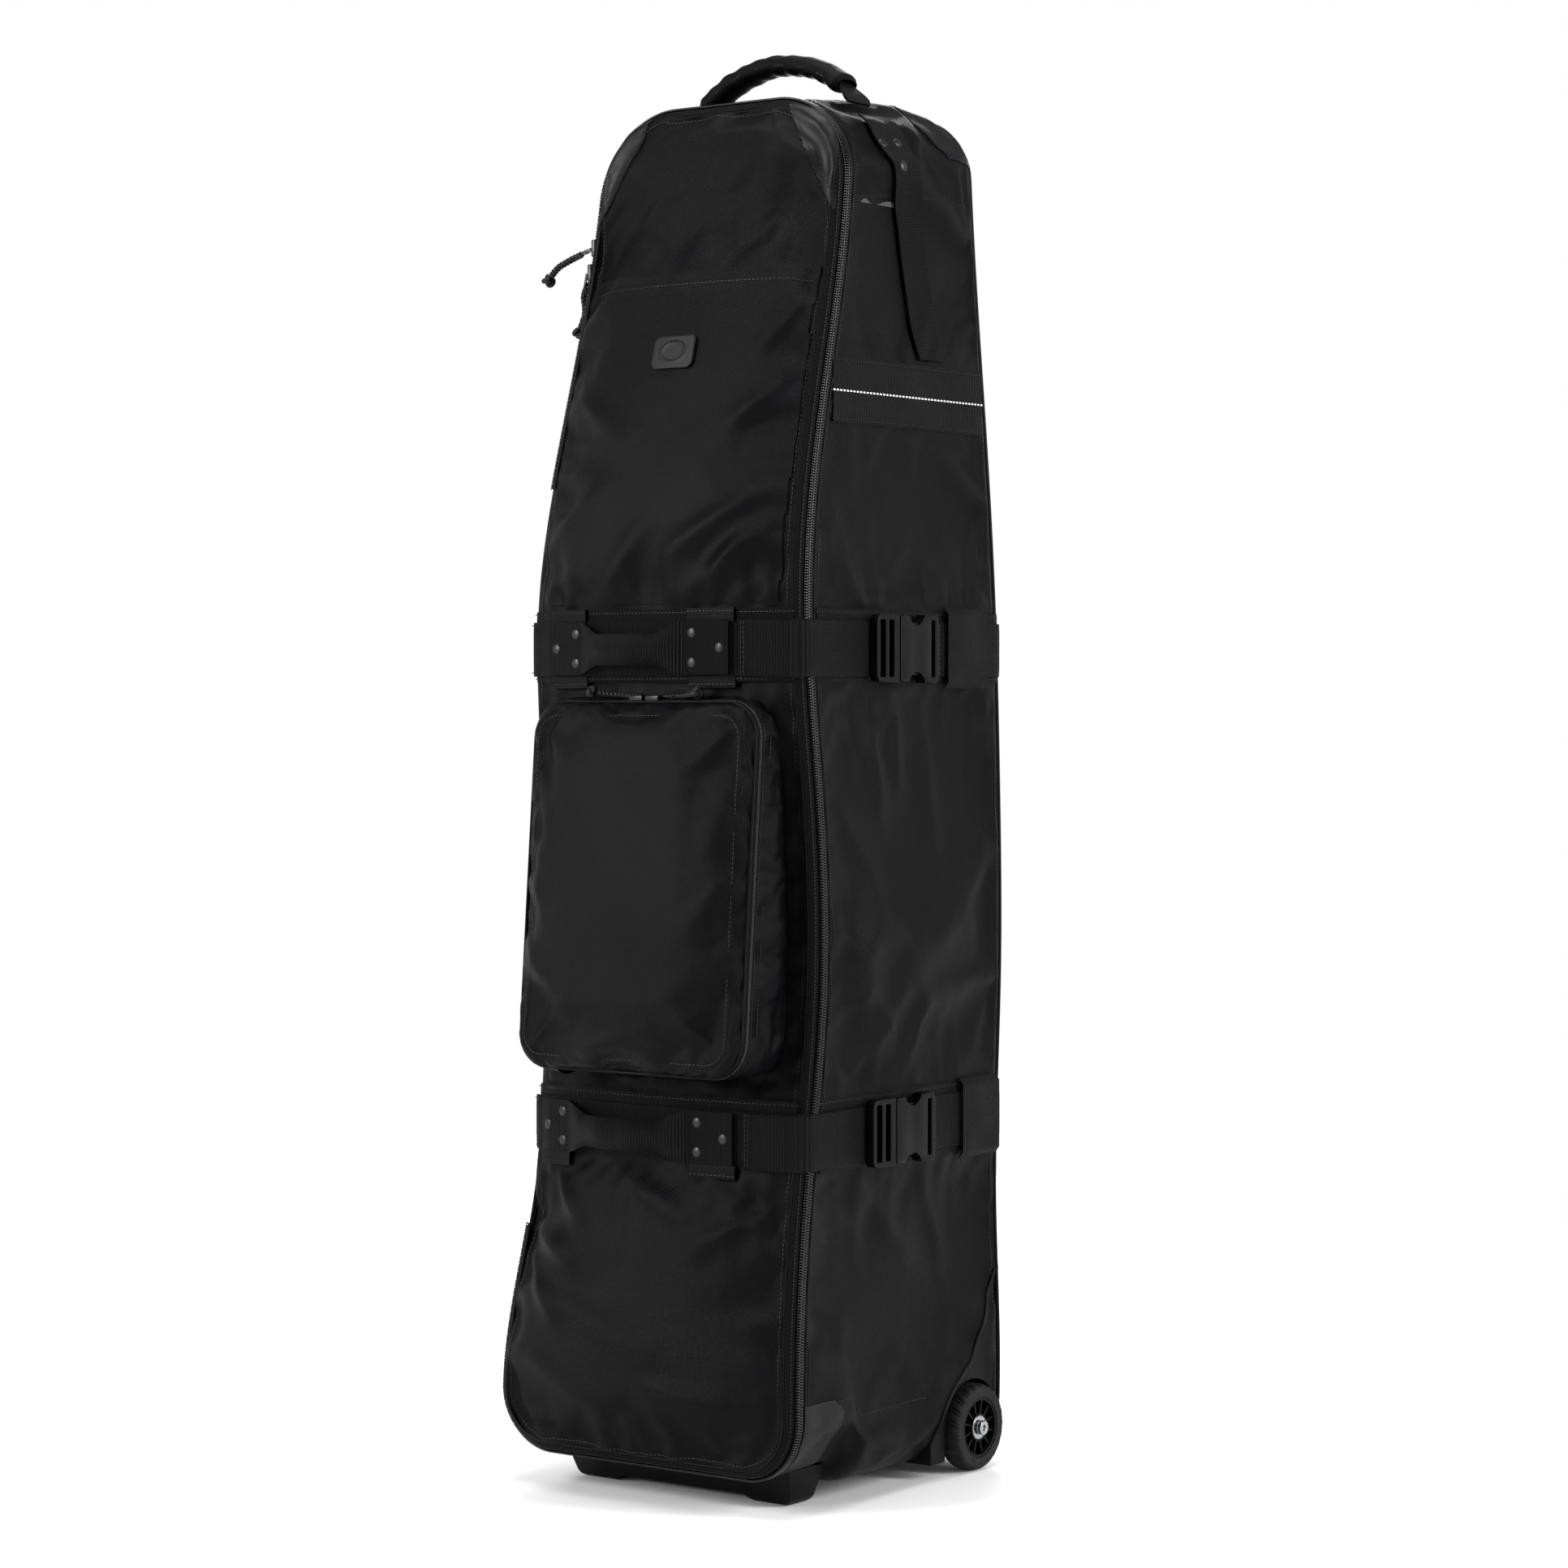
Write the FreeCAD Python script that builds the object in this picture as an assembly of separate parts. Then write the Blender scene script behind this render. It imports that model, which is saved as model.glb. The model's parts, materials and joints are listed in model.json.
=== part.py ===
"""Soft-sided wheeled golf travel case, standing upright on its foot bar and its two wheels.

Frame: +Z up, the zipped front panel faces -Y, the back panel faces +Y and the strap buckles are on
the +X side. The origin is on the floor under the middle of the case. Lengths are millimetres.

The case is built from a table of stations: its half width, its zip line, the crown of its front
panel and its back, each at some heights. Every panel, strap and patch is a thin layer between copies
of these surfaces that are moved in or out.
"""
import FreeCAD
import Part
import functools
import math
import os
from FreeCAD import Placement, Vector

# Stations of the case: height, half width, y of the zip line, crown of the front panel, y of the back.
STATIONS = [
    (0, 161, -146, 6, 171),
    (95, 162, -150, 14, 174),
    (250, 151, -126, 18, 184),
    (454, 154, -104, 10, 187),
    (620, 153, -108, 10, 187),
    (800, 148, -118, 14, 186),
    (938, 142, -94, 18, 182),
    (1125, 137, -48, 12, 168),
    (1250, 133, -32, 6, 164),
]
CASE_BOTTOM = 34.0
CASE_TOP = 1242.0
BOTTOM_CORNER = 52.0
TOP_CORNER = 68.0
BELLY = 14.0            # the bottom hangs lower behind the foot bar
BELLY_Y = -58.0
REACH = 320.0

# Layers.
WALL = 4.0
BACK_WALL = 4.0
BOARD = 3.0
PANEL_WALL = 3.0
EDGE = 9.6              # depth of the front panel's rim
CROWN_HALF = 162.0      # the crown of the front panel ends at this half width
SEAM = 0.4              # half of the gap along the zip
TAPE = 9.0              # width of one zip half
SKIN = 0.3              # gap between layers
WEBBING = 2.0
TRIM = 1.3

# Hinge of the front panel: the sewn left edge, between the two ends of the zip.
HINGE_LOW, HINGE_HIGH = 230.0, 900.0

# Side panels end where the top and bottom panels begin.
SHOULDER_Z = 1150.0
SILL_Z = 92.0

# Straps: the sewn band, the belt that runs over it, and where its fittings sit.
BAND_HALF = 32.0
BELT_HALF = 24.5
STRAPS = {
    "mid": {"band_z": 756.0, "belt_z": 754.0, "buckle_y": 2.0, "keeper": (88.0, 150.0),
            "grip": (-77.0, 38.0), "patch_left": (-120.0, -77.0), "patch_right": (38.0, 88.0)},
    "lower": {"band_z": 328.0, "belt_z": 325.0, "buckle_y": -4.0, "keeper": (112.0, 172.0),
              "grip": (-96.0, 42.0), "patch_left": (-134.0, -96.0), "patch_right": (42.0, 90.0)},
}
GRIP_RISE = 17.0
GRIP_HALF = 15.0
GRIP_T = 2.6
TAB_T = 3.5
RIVET_R = 4.6
RIVET_H = 2.4

# Side-release buckle, drawn along u (+Y), v (Z) and t (+X, its thickness).
BUCKLE_HALF = 31.0
BUCKLE_T = 10.0
LADDER = 35.0
SOCKET = 60.0

# Front pocket.
POCKET_X = (-122.0, 125.0)
POCKET_Z = (382.0, 706.0)
POCKET_R = 30.0
POCKET_TOP_Y, POCKET_LOW_Y = -160.0, -186.0
POCKET_WALL, POCKET_FACE = 3.0, 4.0

# Wheels, their housings and the foot bar.
WHEEL_Y, WHEEL_Z = 134.0, 40.0
TYRE_R, TYRE_BORE, WHEEL_W = 40.0, 28.0, 22.0
WHEEL_IN = 142.0
HUB_R, HUB_CORE = 27.9, 12.6
BEARING_R, BEARING_BORE, BEARING_W = 11.0, 4.05, 7.0
BOLT_R, BOLT_HEAD_R, BOLT_HEAD_H = 4.0, 6.6, 4.6
SPOKES = 12
HOUSING_IN, HOUSING_OUT = 112.0, 154.0
HOUSING_WALL = 3.5
WELL_R, WELL_FLOOR = 44.0, 138.0
HOUSING = [(67, 14), (178, 14), (178, 184), (172, 184), (143, 136), (126, 103), (98, 88), (76, 66), (67, 49)]
FOOT_HALF, FOOT_Y, FOOT_ARCH = 127.0, (-112.0, -60.0), 6.0

# Top handle.
HANDLE_Y = 42.0
HANDLE_LEG_Z = 1247.5
ARCH_TOP, ARCH_R, ARCH_ANGLE = 1289.0, 128.3, 37.0
SLEEVE_A, SLEEVE_B = 14.0, 7.6
HANDLE_HALF = 19.0

# Zip sliders and their cord pulls.
TAB_L, TAB_W = 12.0, 7.0
PULL_CORD_R = 3.2
KNOT_R = 6.5
SLIDER_Z = {"upper": 1124.0, "lower": 1101.0}
POCKET_SLIDER_X = {"left": -10.0, "right": 8.0}

os.makedirs("parts", exist_ok=True)


# ---------------------------------------------------------------- helpers

def line_at(column, z):
    """One column of the stations at height z, on the same curve as the solids."""
    curve = station_curve(column, 0, 0)
    return curve.value(z).y


def half_width(z):
    return line_at(1, z)


def zip_y(z):
    return line_at(2, z)


def front_y(x, z):
    """The face of the front panel."""
    return zip_y(z) - EDGE - line_at(3, z) * (1 - (x / CROWN_HALF) ** 2)


def station_curve(column, move, x):
    """Curve through one column of the stations, as y over z, in the plane of x."""
    curve = Part.BSplineCurve()
    points = [Vector(x, row[column] + move, row[0]) for row in STATIONS]
    curve.interpolate(Points=points, Parameters=[float(row[0]) for row in STATIONS])
    return curve


def place(plane, a, b, c=0.0):
    """A point from in-plane coordinates a, b and the height c above the plane."""
    return {"xz": Vector(a, c, b), "yz": Vector(c, a, b), "xy": Vector(a, b, c)}[plane]


def rounded_wire(plane, corners, radii):
    """Closed wire through corners, each rounded by its radius."""
    edges, last, first = [], None, None
    for i, corner in enumerate(corners):
        p = place(plane, *corner)
        before = place(plane, *corners[i - 1]) - p
        after = place(plane, *corners[(i + 1) % len(corners)]) - p
        before.normalize()
        after.normalize()
        r = radii[i]
        if r > 0:
            half = before.getAngle(after) / 2
            cut = r / math.tan(half)
            start, end = p + before * cut, p + after * cut
            middle = before + after
            middle.normalize()
            top = p + middle * (r / math.sin(half) - r)
        else:
            start = end = p
        if last is not None and (start - last).Length > 1e-6:
            edges.append(Part.LineSegment(last, start).toShape())
        if r > 0:
            edges.append(Part.Arc(start, top, end).toShape())
        first = start if first is None else first
        last = end
    if (last - first).Length > 1e-6:
        edges.append(Part.LineSegment(last, first).toShape())
    return Part.Wire(edges)


def slab(plane, corners, low, high, radii=0.0):
    """Rounded polygon, extruded along the plane's normal from low to high."""
    radii = [radii] * len(corners) if isinstance(radii, (int, float)) else radii
    face = Part.Face(rounded_wire(plane, corners, radii))
    normal = place(plane, 0, 0, 1)
    face.translate(normal * low)
    return face.extrude(normal * (high - low))


def box(x, y, z):
    """Box from three (low, high) pairs."""
    return Part.makeBox(x[1] - x[0], y[1] - y[0], z[1] - z[0], Vector(x[0], y[0], z[0]))


def rod(r, start, end):
    """Cylinder of radius r from start to end."""
    return Part.makeCylinder(r, (end - start).Length, start, end - start)


def strip(a, b):
    """Face between two curves that run along z."""
    ends = [Part.LineSegment(a.EndPoint, b.EndPoint).toShape(), Part.LineSegment(b.StartPoint, a.StartPoint).toShape()]
    return Part.Face(Part.Wire([a.toShape(), ends[0], b.toShape(), ends[1]]))


@functools.lru_cache(None)
def prism(inset, bottom=CASE_BOTTOM):
    """The front outline, moved inwards by inset, from y -REACH to y REACH."""
    right, left = station_curve(1, -inset, 0), station_curve(1, -inset, 0)
    right.rotate(Placement(Vector(0, 0, 0), Vector(0, 0, 1), -90))
    left.rotate(Placement(Vector(0, 0, 0), Vector(0, 0, 1), 90))
    side = strip(right, left)
    side.translate(Vector(0, -REACH, 0))
    low, high = bottom + inset, CASE_TOP - inset
    body = side.extrude(Vector(0, 2 * REACH, 0)).common(between(low, high))
    for z, r in ((low, BOTTOM_CORNER - inset), (high, TOP_CORNER - inset)):
        corners = [e for e in body.Edges if e.BoundBox.YLength > REACH and e.BoundBox.XLength < 0.1
                   and abs(e.CenterOfMass.z - z) < 0.1]
        body = body.makeFillet(r, corners)
    return body


def ring(outer, inner, bottom=CASE_BOTTOM):
    """Everything between two copies of the front outline."""
    return prism(outer, bottom).cut(prism(inner, bottom))


def band(front, back):
    """Everything between the zip line moved by front and the zip line moved by back."""
    return strip(station_curve(2, front, -REACH), station_curve(2, back, -REACH)).extrude(Vector(2 * REACH, 0, 0))


def behind(front, back):
    """Everything between the zip line moved by front and the back moved by back."""
    return strip(station_curve(2, front, -REACH), station_curve(4, back, -REACH)).extrude(Vector(2 * REACH, 0, 0))


def at_back(front, back):
    """Everything between two copies of the back."""
    return strip(station_curve(4, front, -REACH), station_curve(4, back, -REACH)).extrude(Vector(2 * REACH, 0, 0))


@functools.lru_cache(None)
def crowned(front, depth):
    """Layer whose front is the face of the front panel moved by front, depth thick along Y."""
    reach = 1 - (200 / CROWN_HALF) ** 2
    centre, rim = station_curve(3, 0, 0).getPoles(), station_curve(2, 0, 0).getPoles()
    rows = []
    for x, share in ((-200, reach), (0, 2 - reach), (200, reach)):
        rows.append([Vector(x, b.y - EDGE + front - a.y * share, b.z) for a, b in zip(centre, rim)])
    line = station_curve(2, 0, 0)
    surface = Part.BSplineSurface()
    surface.buildFromPolesMultsKnots(rows, [3, 3], line.getMultiplicities(), [0, 1], line.getKnots(),
                                     False, False, 2, line.Degree)
    return surface.toShape().extrude(Vector(0, depth, 0))


def between(z0, z1):
    return box((-REACH, REACH), (-REACH, REACH), (z0, z1))


def mirrored(shape):
    return shape.mirror(Vector(0, 0, 0), Vector(1, 0, 0))


def both(shape):
    """A +X piece and its -X twin."""
    return [shape, mirrored(shape)]


def save(name, shapes):
    solids = [s for shape in shapes for s in shape.Solids]
    shape = solids[0] if len(solids) == 1 else Part.makeCompound(solids)
    bad = [s for s in solids if not s.isValid() or s.Volume <= 0]
    shape.exportStep(os.path.join("parts", name + ".step"))
    b = shape.BoundBox
    print(f"{name:26s} {len(solids):2d} solids {sum(s.Volume for s in solids) / 1000:9.1f} cm3"
          f"  x {b.XMin:7.1f} {b.XMax:7.1f}  y {b.YMin:7.1f} {b.YMax:7.1f}  z {b.ZMin:7.1f} {b.ZMax:7.1f}"
          + ("  INVALID" if bad else ""))


def rivet(point, normal):
    """Domed rivet head standing on point."""
    head = Part.makeCylinder(RIVET_R, RIVET_H, point, normal)
    return head.makeFillet(RIVET_H * 0.6, [max(head.Edges, key=lambda e: e.CenterOfMass.dot(normal))])


# ---------------------------------------------------------------- case shell

def housing_solid(grow=0.0):
    """The outside of the right wheel housing, grown by a clearance."""
    corners = [(a + (grow if a > 100 else -grow), b + (grow if b > 60 else -grow)) for a, b in HOUSING]
    return slab("yz", corners, HOUSING_IN - grow, HOUSING_OUT + (40 if grow else 0))


def without_housings(shape):
    for room in both(housing_solid(SKIN)):
        shape = shape.cut(room)
    return shape


def shell_panels():
    """Side, top, bottom and back panels, and the boards and foam that stiffen them."""
    inside = behind(SEAM, -BACK_WALL)
    walls = ring(0.0, WALL).common(inside)
    sides = without_housings(walls.common(between(SILL_Z, SHOULDER_Z)))
    save("left_gusset", [s for s in sides.Solids if s.CenterOfMass.x < 0])
    save("right_gusset", [s for s in sides.Solids if s.CenterOfMass.x > 0])
    save("top_gusset", [walls.common(between(SHOULDER_Z, CASE_TOP + 1))])

    ahead = box((-REACH, REACH), (-REACH, BELLY_Y), (0, SILL_Z))
    rear = box((-REACH, REACH), (BELLY_Y, REACH), (0, SILL_Z))
    step = prism(0.0, BELLY).cut(prism(WALL)).common(box((-REACH, REACH), (BELLY_Y, BELLY_Y + WALL), (0, 60)))
    bottom = walls.common(ahead).fuse([ring(0.0, WALL, BELLY).common(inside).common(rear), step])
    save("bottom_panel", [without_housings(bottom.removeSplitter())])

    save("back_panel", [without_housings(prism(0.0, BELLY).common(at_back(-BACK_WALL, 0.0)))])
    board = prism(WALL + 2, BELLY).common(at_back(-BACK_WALL - BOARD, -BACK_WALL))
    save("back_board", [without_housings(board)])
    floor = BELLY + WALL
    half = HOUSING_IN - 2 * SKIN
    base = box((-half, half), (BELLY_Y + WALL + 2, 158), (floor, floor + BOARD))
    save("base_board", [base])
    foam = ring(WALL, WALL + 6).common(behind(EDGE, -BACK_WALL - BOARD - 1)).common(between(SHOULDER_Z, CASE_TOP))
    save("top_foam", [foam])


def corner_patches():
    """Smooth coated patches on the upper back corners and on the lower front corners."""
    layer = ring(-TRIM - SKIN, -SKIN)
    top = slab("yz", [(104, 1260), (200, 1260), (200, 1128), (164, 1134)], -REACH, REACH)
    top = layer.common(top).common(behind(20, -0.5)).cut(box((-82, 82), (-REACH, REACH), (1100, 1300)))
    low = slab("yz", [(-200, 20), (-72, 20), (-88, 100), (-200, 100)], -REACH, REACH, [0, 0, 10, 0])
    low = layer.common(low).common(behind(TAPE + 0.6, 0)).cut(box((-130, 130), (-REACH, REACH), (0, 200)))
    save("case_corner_patches", [top, low])


def wheel_housings():
    """Moulded corner with a round well for the wheel, hollow on the inside of the case."""
    body = housing_solid()
    well = rod(WELL_R, Vector(WELL_FLOOR, WHEEL_Y, WHEEL_Z), Vector(HOUSING_OUT + 5, WHEEL_Y, WHEEL_Z))
    below = box((WELL_FLOOR, HOUSING_OUT + 5), (WHEEL_Y - WELL_R, 200), (0, WHEEL_Z))
    w = HOUSING_WALL
    inside = [(67 + w, 14 + w), (178 - w, 14 + w), (178 - w, 152), (148, 130), (130, 99), (102, 83), (80, 61), (67 + w, 45)]
    hollow = slab("yz", inside, HOUSING_IN - 1, WELL_FLOOR - w)
    bore = rod(BOLT_R + 0.05, Vector(100, WHEEL_Y, WHEEL_Z), Vector(200, WHEEL_Y, WHEEL_Z))
    boss = rod(12, Vector(HOUSING_IN + 6, WHEEL_Y, WHEEL_Z), Vector(WELL_FLOOR, WHEEL_Y, WHEEL_Z))
    housing = body.cut(well).cut(below).cut(hollow).fuse(boss).removeSplitter().cut(bore)
    save("right_wheel_housing", [housing])
    save("left_wheel_housing", [mirrored(housing)])


def foot_bar():
    """Moulded bar under the front edge, arched between its two feet."""
    low, high = FOOT_Y
    top = CASE_BOTTOM - SKIN
    section = slab("yz", [(low + 12, 0), (high - 8, 0), (high, top), (low, top)], -FOOT_HALF, FOOT_HALF, [8, 8, 0, 0])
    front = [(-FOOT_HALF + 8, 0), (-FOOT_HALF + 48, 0), (-FOOT_HALF + 58, FOOT_ARCH), (FOOT_HALF - 58, FOOT_ARCH),
             (FOOT_HALF - 48, 0), (FOOT_HALF - 8, 0), (FOOT_HALF, top), (-FOOT_HALF, top)]
    ends = slab("xz", front, -200, 0, [10, 3, 3, 3, 3, 10, 0, 0])
    room = prism(-SKIN).common(box((-REACH, REACH), (-200, BELLY_Y - SKIN), (0, 60)))
    save("foot_bar", [section.common(ends).cut(room)])


# ---------------------------------------------------------------- main zip

def main_zip():
    """Two halves of the chain with their tapes, open along the sewn hinge at the left."""
    layer = ring(-TRIM - SKIN, -SKIN)
    hinge = box((-REACH, 0), (-REACH, REACH), (HINGE_LOW, HINGE_HIGH))
    save("main_zip_case_half", [layer.common(band(SEAM, TAPE)).cut(hinge)])
    save("main_zip_panel_half", [layer.common(band(-TAPE, -SEAM)).cut(hinge)])


def main_sliders():
    """Two sliders that meet on the left edge, each with a metal pull and a knotted cord."""
    for name, z in SLIDER_Z.items():
        x, y = -half_width(z - 8) - TRIM - 3 * SKIN, zip_y(z)
        body = box((x - 5, x), (y - 4.5, y + 4.5), (z - 8, z + 8))
        body = body.makeFillet(1.5, [e for e in body.Edges if e.CenterOfMass.x < x - 4.9])
        save(f"{name}_zip_slider", [body])
        start = Vector(x - 6.3, y, z)
        out = PULL_AIM[name]
        side = Vector(0, 1, 0)
        pull = pull_tab(start, out, side)
        save(f"{name}_zip_pull", [pull])
        route = [start + out * a + Vector(0, b, 0) - Vector(0, 0, c) for a, b, c in PULL_ROUTE[name]]
        save(f"{name}_pull_cord", [cord_with_knot(name, route)])


def pull_tab(start, out, side):
    """Flat metal tab with a hole for the cord, hanging from start along out."""
    flat, half, hole = out.cross(side), TAB_W / 2, start + out * (TAB_L - 5)
    corners = [start + out * a + side * b - flat * 0.9
               for a, b in ((0.2, -half), (TAB_L, -half), (TAB_L, half), (0.2, half))]
    tab = Part.Face(Part.makePolygon(corners + corners[:1])).extrude(flat * 1.8)
    return tab.cut(rod(1.9, hole - flat * 5, hole + flat * 5))


def tube_path(points):
    """Straight runs joined by tangent arcs, as large as the shorter run beside each allows."""
    edges, last = [], points[0]
    for before, p, after in zip(points, points[1:], points[2:]):
        a, b = before - p, after - p
        shorter = min(a.Length, b.Length)
        a.normalize()
        b.normalize()
        cut = 0.45 * shorter
        half = a.getAngle(b) / 2
        r = cut * math.tan(half)
        middle = a + b
        middle.normalize()
        top = p + middle * (r / math.sin(half) - r)
        start, end = p + a * cut, p + b * cut
        edges += [Part.LineSegment(last, start).toShape(), Part.Arc(start, top, end).toShape()]
        print(f"    bend radius {r:.1f}")
        last = end
    edges.append(Part.LineSegment(last, points[-1]).toShape())
    return Part.Wire(edges)


def tube_run(edge):
    """Round tube along one straight run or arc."""
    start, end = edge.FirstParameter, edge.LastParameter
    disc = Part.Face(Part.Wire(Part.makeCircle(PULL_CORD_R, edge.valueAt(start), edge.tangentAt(start))))
    if isinstance(edge.Curve, Part.Circle):
        return disc.revolve(edge.Curve.Center, edge.Curve.Axis, math.degrees(end - start))
    return disc.extrude(edge.valueAt(end) - edge.valueAt(start))


def cord_with_knot(name, points):
    path = tube_path(points)
    runs = [tube_run(edge) for edge in path.Edges]
    tube = runs[0].fuse(runs[1:]).removeSplitter()
    share = tube.Volume / (math.pi * PULL_CORD_R ** 2 * path.Length)
    print(f"    {name} cord is {path.Length:.1f} long, volume {share:.3f} of section times length")
    end = points[-1] - points[-2]
    end.normalize()
    return tube.fuse(Part.makeSphere(KNOT_R, points[-1] + end * (KNOT_R - 1.5), end)).removeSplitter()


# Pull directions at rest, and cord routes as (along the pull, sideways, down) from the pull's root.
PULL_AIM = {"upper": Vector(-0.95, 0, -0.31).normalize(), "lower": Vector(-0.2, 0, -0.98).normalize()}
PULL_ROUTE = {
    "upper": [(13, 0, 0), (22, 2, -1), (31, -2, 1), (41, -5, 3), (49, -4, 8)],
    "lower": [(13, 0, 0), (21, -3, 0), (29, 2, 1), (38, 4, 2), (49, 0, 2)],
}


# ---------------------------------------------------------------- front panel

def front_panel():
    """Crowned panel with a rim, and what is sewn on its upper half."""
    ahead = band(-REACH / 2, -SEAM)
    tray = prism(0.0).common(crowned(0.0, 120)).common(ahead)
    hollow = prism(PANEL_WALL).common(crowned(PANEL_WALL, 140))
    save("front_panel", [tray.cut(hollow)])
    sheet = crowned(-SKIN - TRIM, TRIM).common(prism(9)).common(between(792, 1091))
    save("slash_pocket_panel", [sheet])
    badge = slab("xz", [(-23, 1002), (23, 1002), (23, 1032), (-23, 1032)], -REACH, 0, 9)
    save("front_badge", [crowned(-2 * SKIN - TRIM - 2.2, 2.2).common(badge)])
    corner = slab("xz", [(72, 1260), (150, 1260), (150, 1140), (128, 1156)], -REACH, REACH)
    patch = crowned(-SKIN - TRIM, TRIM).common(prism(2)).common(corner)
    save("front_corner_patches", both(patch))


# ---------------------------------------------------------------- straps

def strap_layer(side_in, side_out, z0, z1, front):
    """A strap round the sides and the back of the case, from the zip line moved by front."""
    outer = prism(-side_out).common(behind(front, side_out))
    inner = prism(-side_in).common(behind(front - 1, side_in))
    return outer.cut(inner).common(between(z0, z1))


def front_layer(side_in, side_out, z0, z1, back):
    """A strap round the front of the panel that goes on along both sides to y = back."""
    outer = prism(-side_out).common(crowned(-side_out, REACH)).common(box((-REACH, REACH), (-REACH, back), (0, CASE_TOP)))
    inner = prism(-side_in).common(crowned(-side_in, REACH))
    return outer.cut(inner).common(between(z0, z1))


# Depths of the strap's layers over the panel: sewn band, belt, doubled tail of the belt.
BELT_IN = SKIN + WEBBING + SKIN
BELT_OUT = BELT_IN + WEBBING
TAIL_IN = BELT_OUT + SKIN
TAIL_OUT = TAIL_IN + WEBBING


def straps():
    """Sewn bands, belts, keepers, grips and buckles; returns the rivets of the case's side."""
    parts = {"case_base_webbing": [], "panel_base_webbing": [], "rear_belts": [], "belt_keepers": [],
             "panel_rivets": [], "strap_tabs": []}
    case_rivets = []
    for name, s in STRAPS.items():
        z0, z1 = s["band_z"] - BAND_HALF, s["band_z"] + BAND_HALF
        b0, b1 = s["belt_z"] - BELT_HALF, s["belt_z"] + BELT_HALF
        parts["case_base_webbing"].append(strap_layer(SKIN, SKIN + WEBBING, z0, z1, TAPE + 1))
        parts["panel_base_webbing"].append(crowned(-SKIN - WEBBING, WEBBING).common(prism(2)).common(between(z0, z1)))
        rear = strap_layer(BELT_IN, BELT_OUT, b0, b1, TAPE + 2)
        socket_end = s["buckle_y"] + SOCKET
        parts["rear_belts"].append(rear.cut(box((0, REACH), (-REACH, socket_end + 1), (b0 - 1, b1 + 1))))

        # The belt starts at the panel's left edge and ends at the buckle; its loose tail lies over it.
        ladder_end = s["buckle_y"] - LADDER - 1
        left = -half_width(s["belt_z"]) + 5
        belt = front_layer(BELT_IN, BELT_OUT, b0, b1, ladder_end).common(box((left, REACH), (-REACH, REACH), (0, CASE_TOP)))
        over = box((s["patch_right"][1] + 6, REACH), (-REACH, REACH), (0, CASE_TOP))
        tail = front_layer(TAIL_IN, TAIL_OUT, b0, b1, ladder_end - 3).common(over)
        save(f"{name}_belt_front", [belt, tail])
        parts["belt_keepers"] += both(keeper(s, b0, b1))
        lift_handle(name, s, b0, b1)
        parts["panel_rivets"] += grip_rivets(s)
        parts["strap_tabs"] += strap_tabs(s, b0, b1)
        case_rivets += buckle_pieces(name, s)
    for name, shapes in parts.items():
        save(name, shapes)
    return case_rivets


def keeper(s, b0, b1):
    """Short loop of webbing that holds the belt against the case's side."""
    y0, y1 = s["keeper"]
    loop = ring(-TAIL_OUT, -BELT_IN).common(box((0, REACH), (y0, y1), (b0 - 10, b1 + 12)))
    room = ring(-TAIL_IN, -SKIN).common(box((0, REACH), (y0 - 1, y1 + 1), (b0 - 2, b1 + 2)))
    return loop.cut(room)


def lift_handle(name, s, b0, b1):
    """Webbing grip that is stitched and riveted to the belt at both ends and stands off between."""
    layer = crowned(-TAIL_OUT, WEBBING)
    pieces = [layer.common(box((low, high), (-REACH, 0), (b0 + 0.5, b1 - 0.5)))
              for low, high in (s["patch_left"], s["patch_right"])]
    (x0, x1), z = s["grip"], s["belt_z"]
    foot0, foot1 = front_y(x0, z) - TAIL_OUT - 0.8, front_y(x1, z) - TAIL_OUT - 0.8
    top = (foot0 + foot1) / 2 - GRIP_RISE
    inner = [Vector(x0, foot0, z - GRIP_HALF), Vector((x0 + x1) / 2, top, z - GRIP_HALF), Vector(x1, foot1, z - GRIP_HALF)]
    outer = [p - Vector(0, GRIP_T, 0) for p in inner]
    wire = Part.Wire([Part.Arc(*inner).toShape(), Part.LineSegment(inner[2], outer[2]).toShape(),
                      Part.Arc(*reversed(outer)).toShape(), Part.LineSegment(outer[0], inner[0]).toShape()])
    pieces.append(Part.Face(wire).extrude(Vector(0, 0, 2 * GRIP_HALF)))
    save(f"{name}_lift_handle", pieces)


def grip_rivets(s):
    """Three rivets on each patch: two beside the grip and one further out."""
    left, right = s["patch_left"], s["patch_right"]
    heads = []
    for near, far in ((left[1] - 8, left[0] + 11), (right[0] + 9, right[1] - 12)):
        for x, dz in ((near, 13), (near, -13), (far, 0)):
            z = s["belt_z"] + dz
            rim = min(front_y(x + a, z + b) for a in (-RIVET_R, 0, RIVET_R) for b in (-RIVET_R, 0, RIVET_R))
            heads.append(rivet(Vector(x, rim - TAIL_OUT - SKIN, z), Vector(0, -1, 0)))
    return heads


def strap_tabs(s, b0, b1):
    """Folded fabric ends above and below the belt, where it passes under each grip patch."""
    bar = crowned(-BELT_IN - TAB_T, TAB_T)
    tabs = []
    for low, high in (s["patch_left"], s["patch_right"]):
        for z0, z1 in ((b1 + 1, b1 + 10), (b0 - 10, b0 - 1)):
            tabs.append(bar.common(box((low + 3, high - 1), (-REACH, 0), (z0, z1))))
    return tabs


# ---------------------------------------------------------------- buckles

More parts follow.
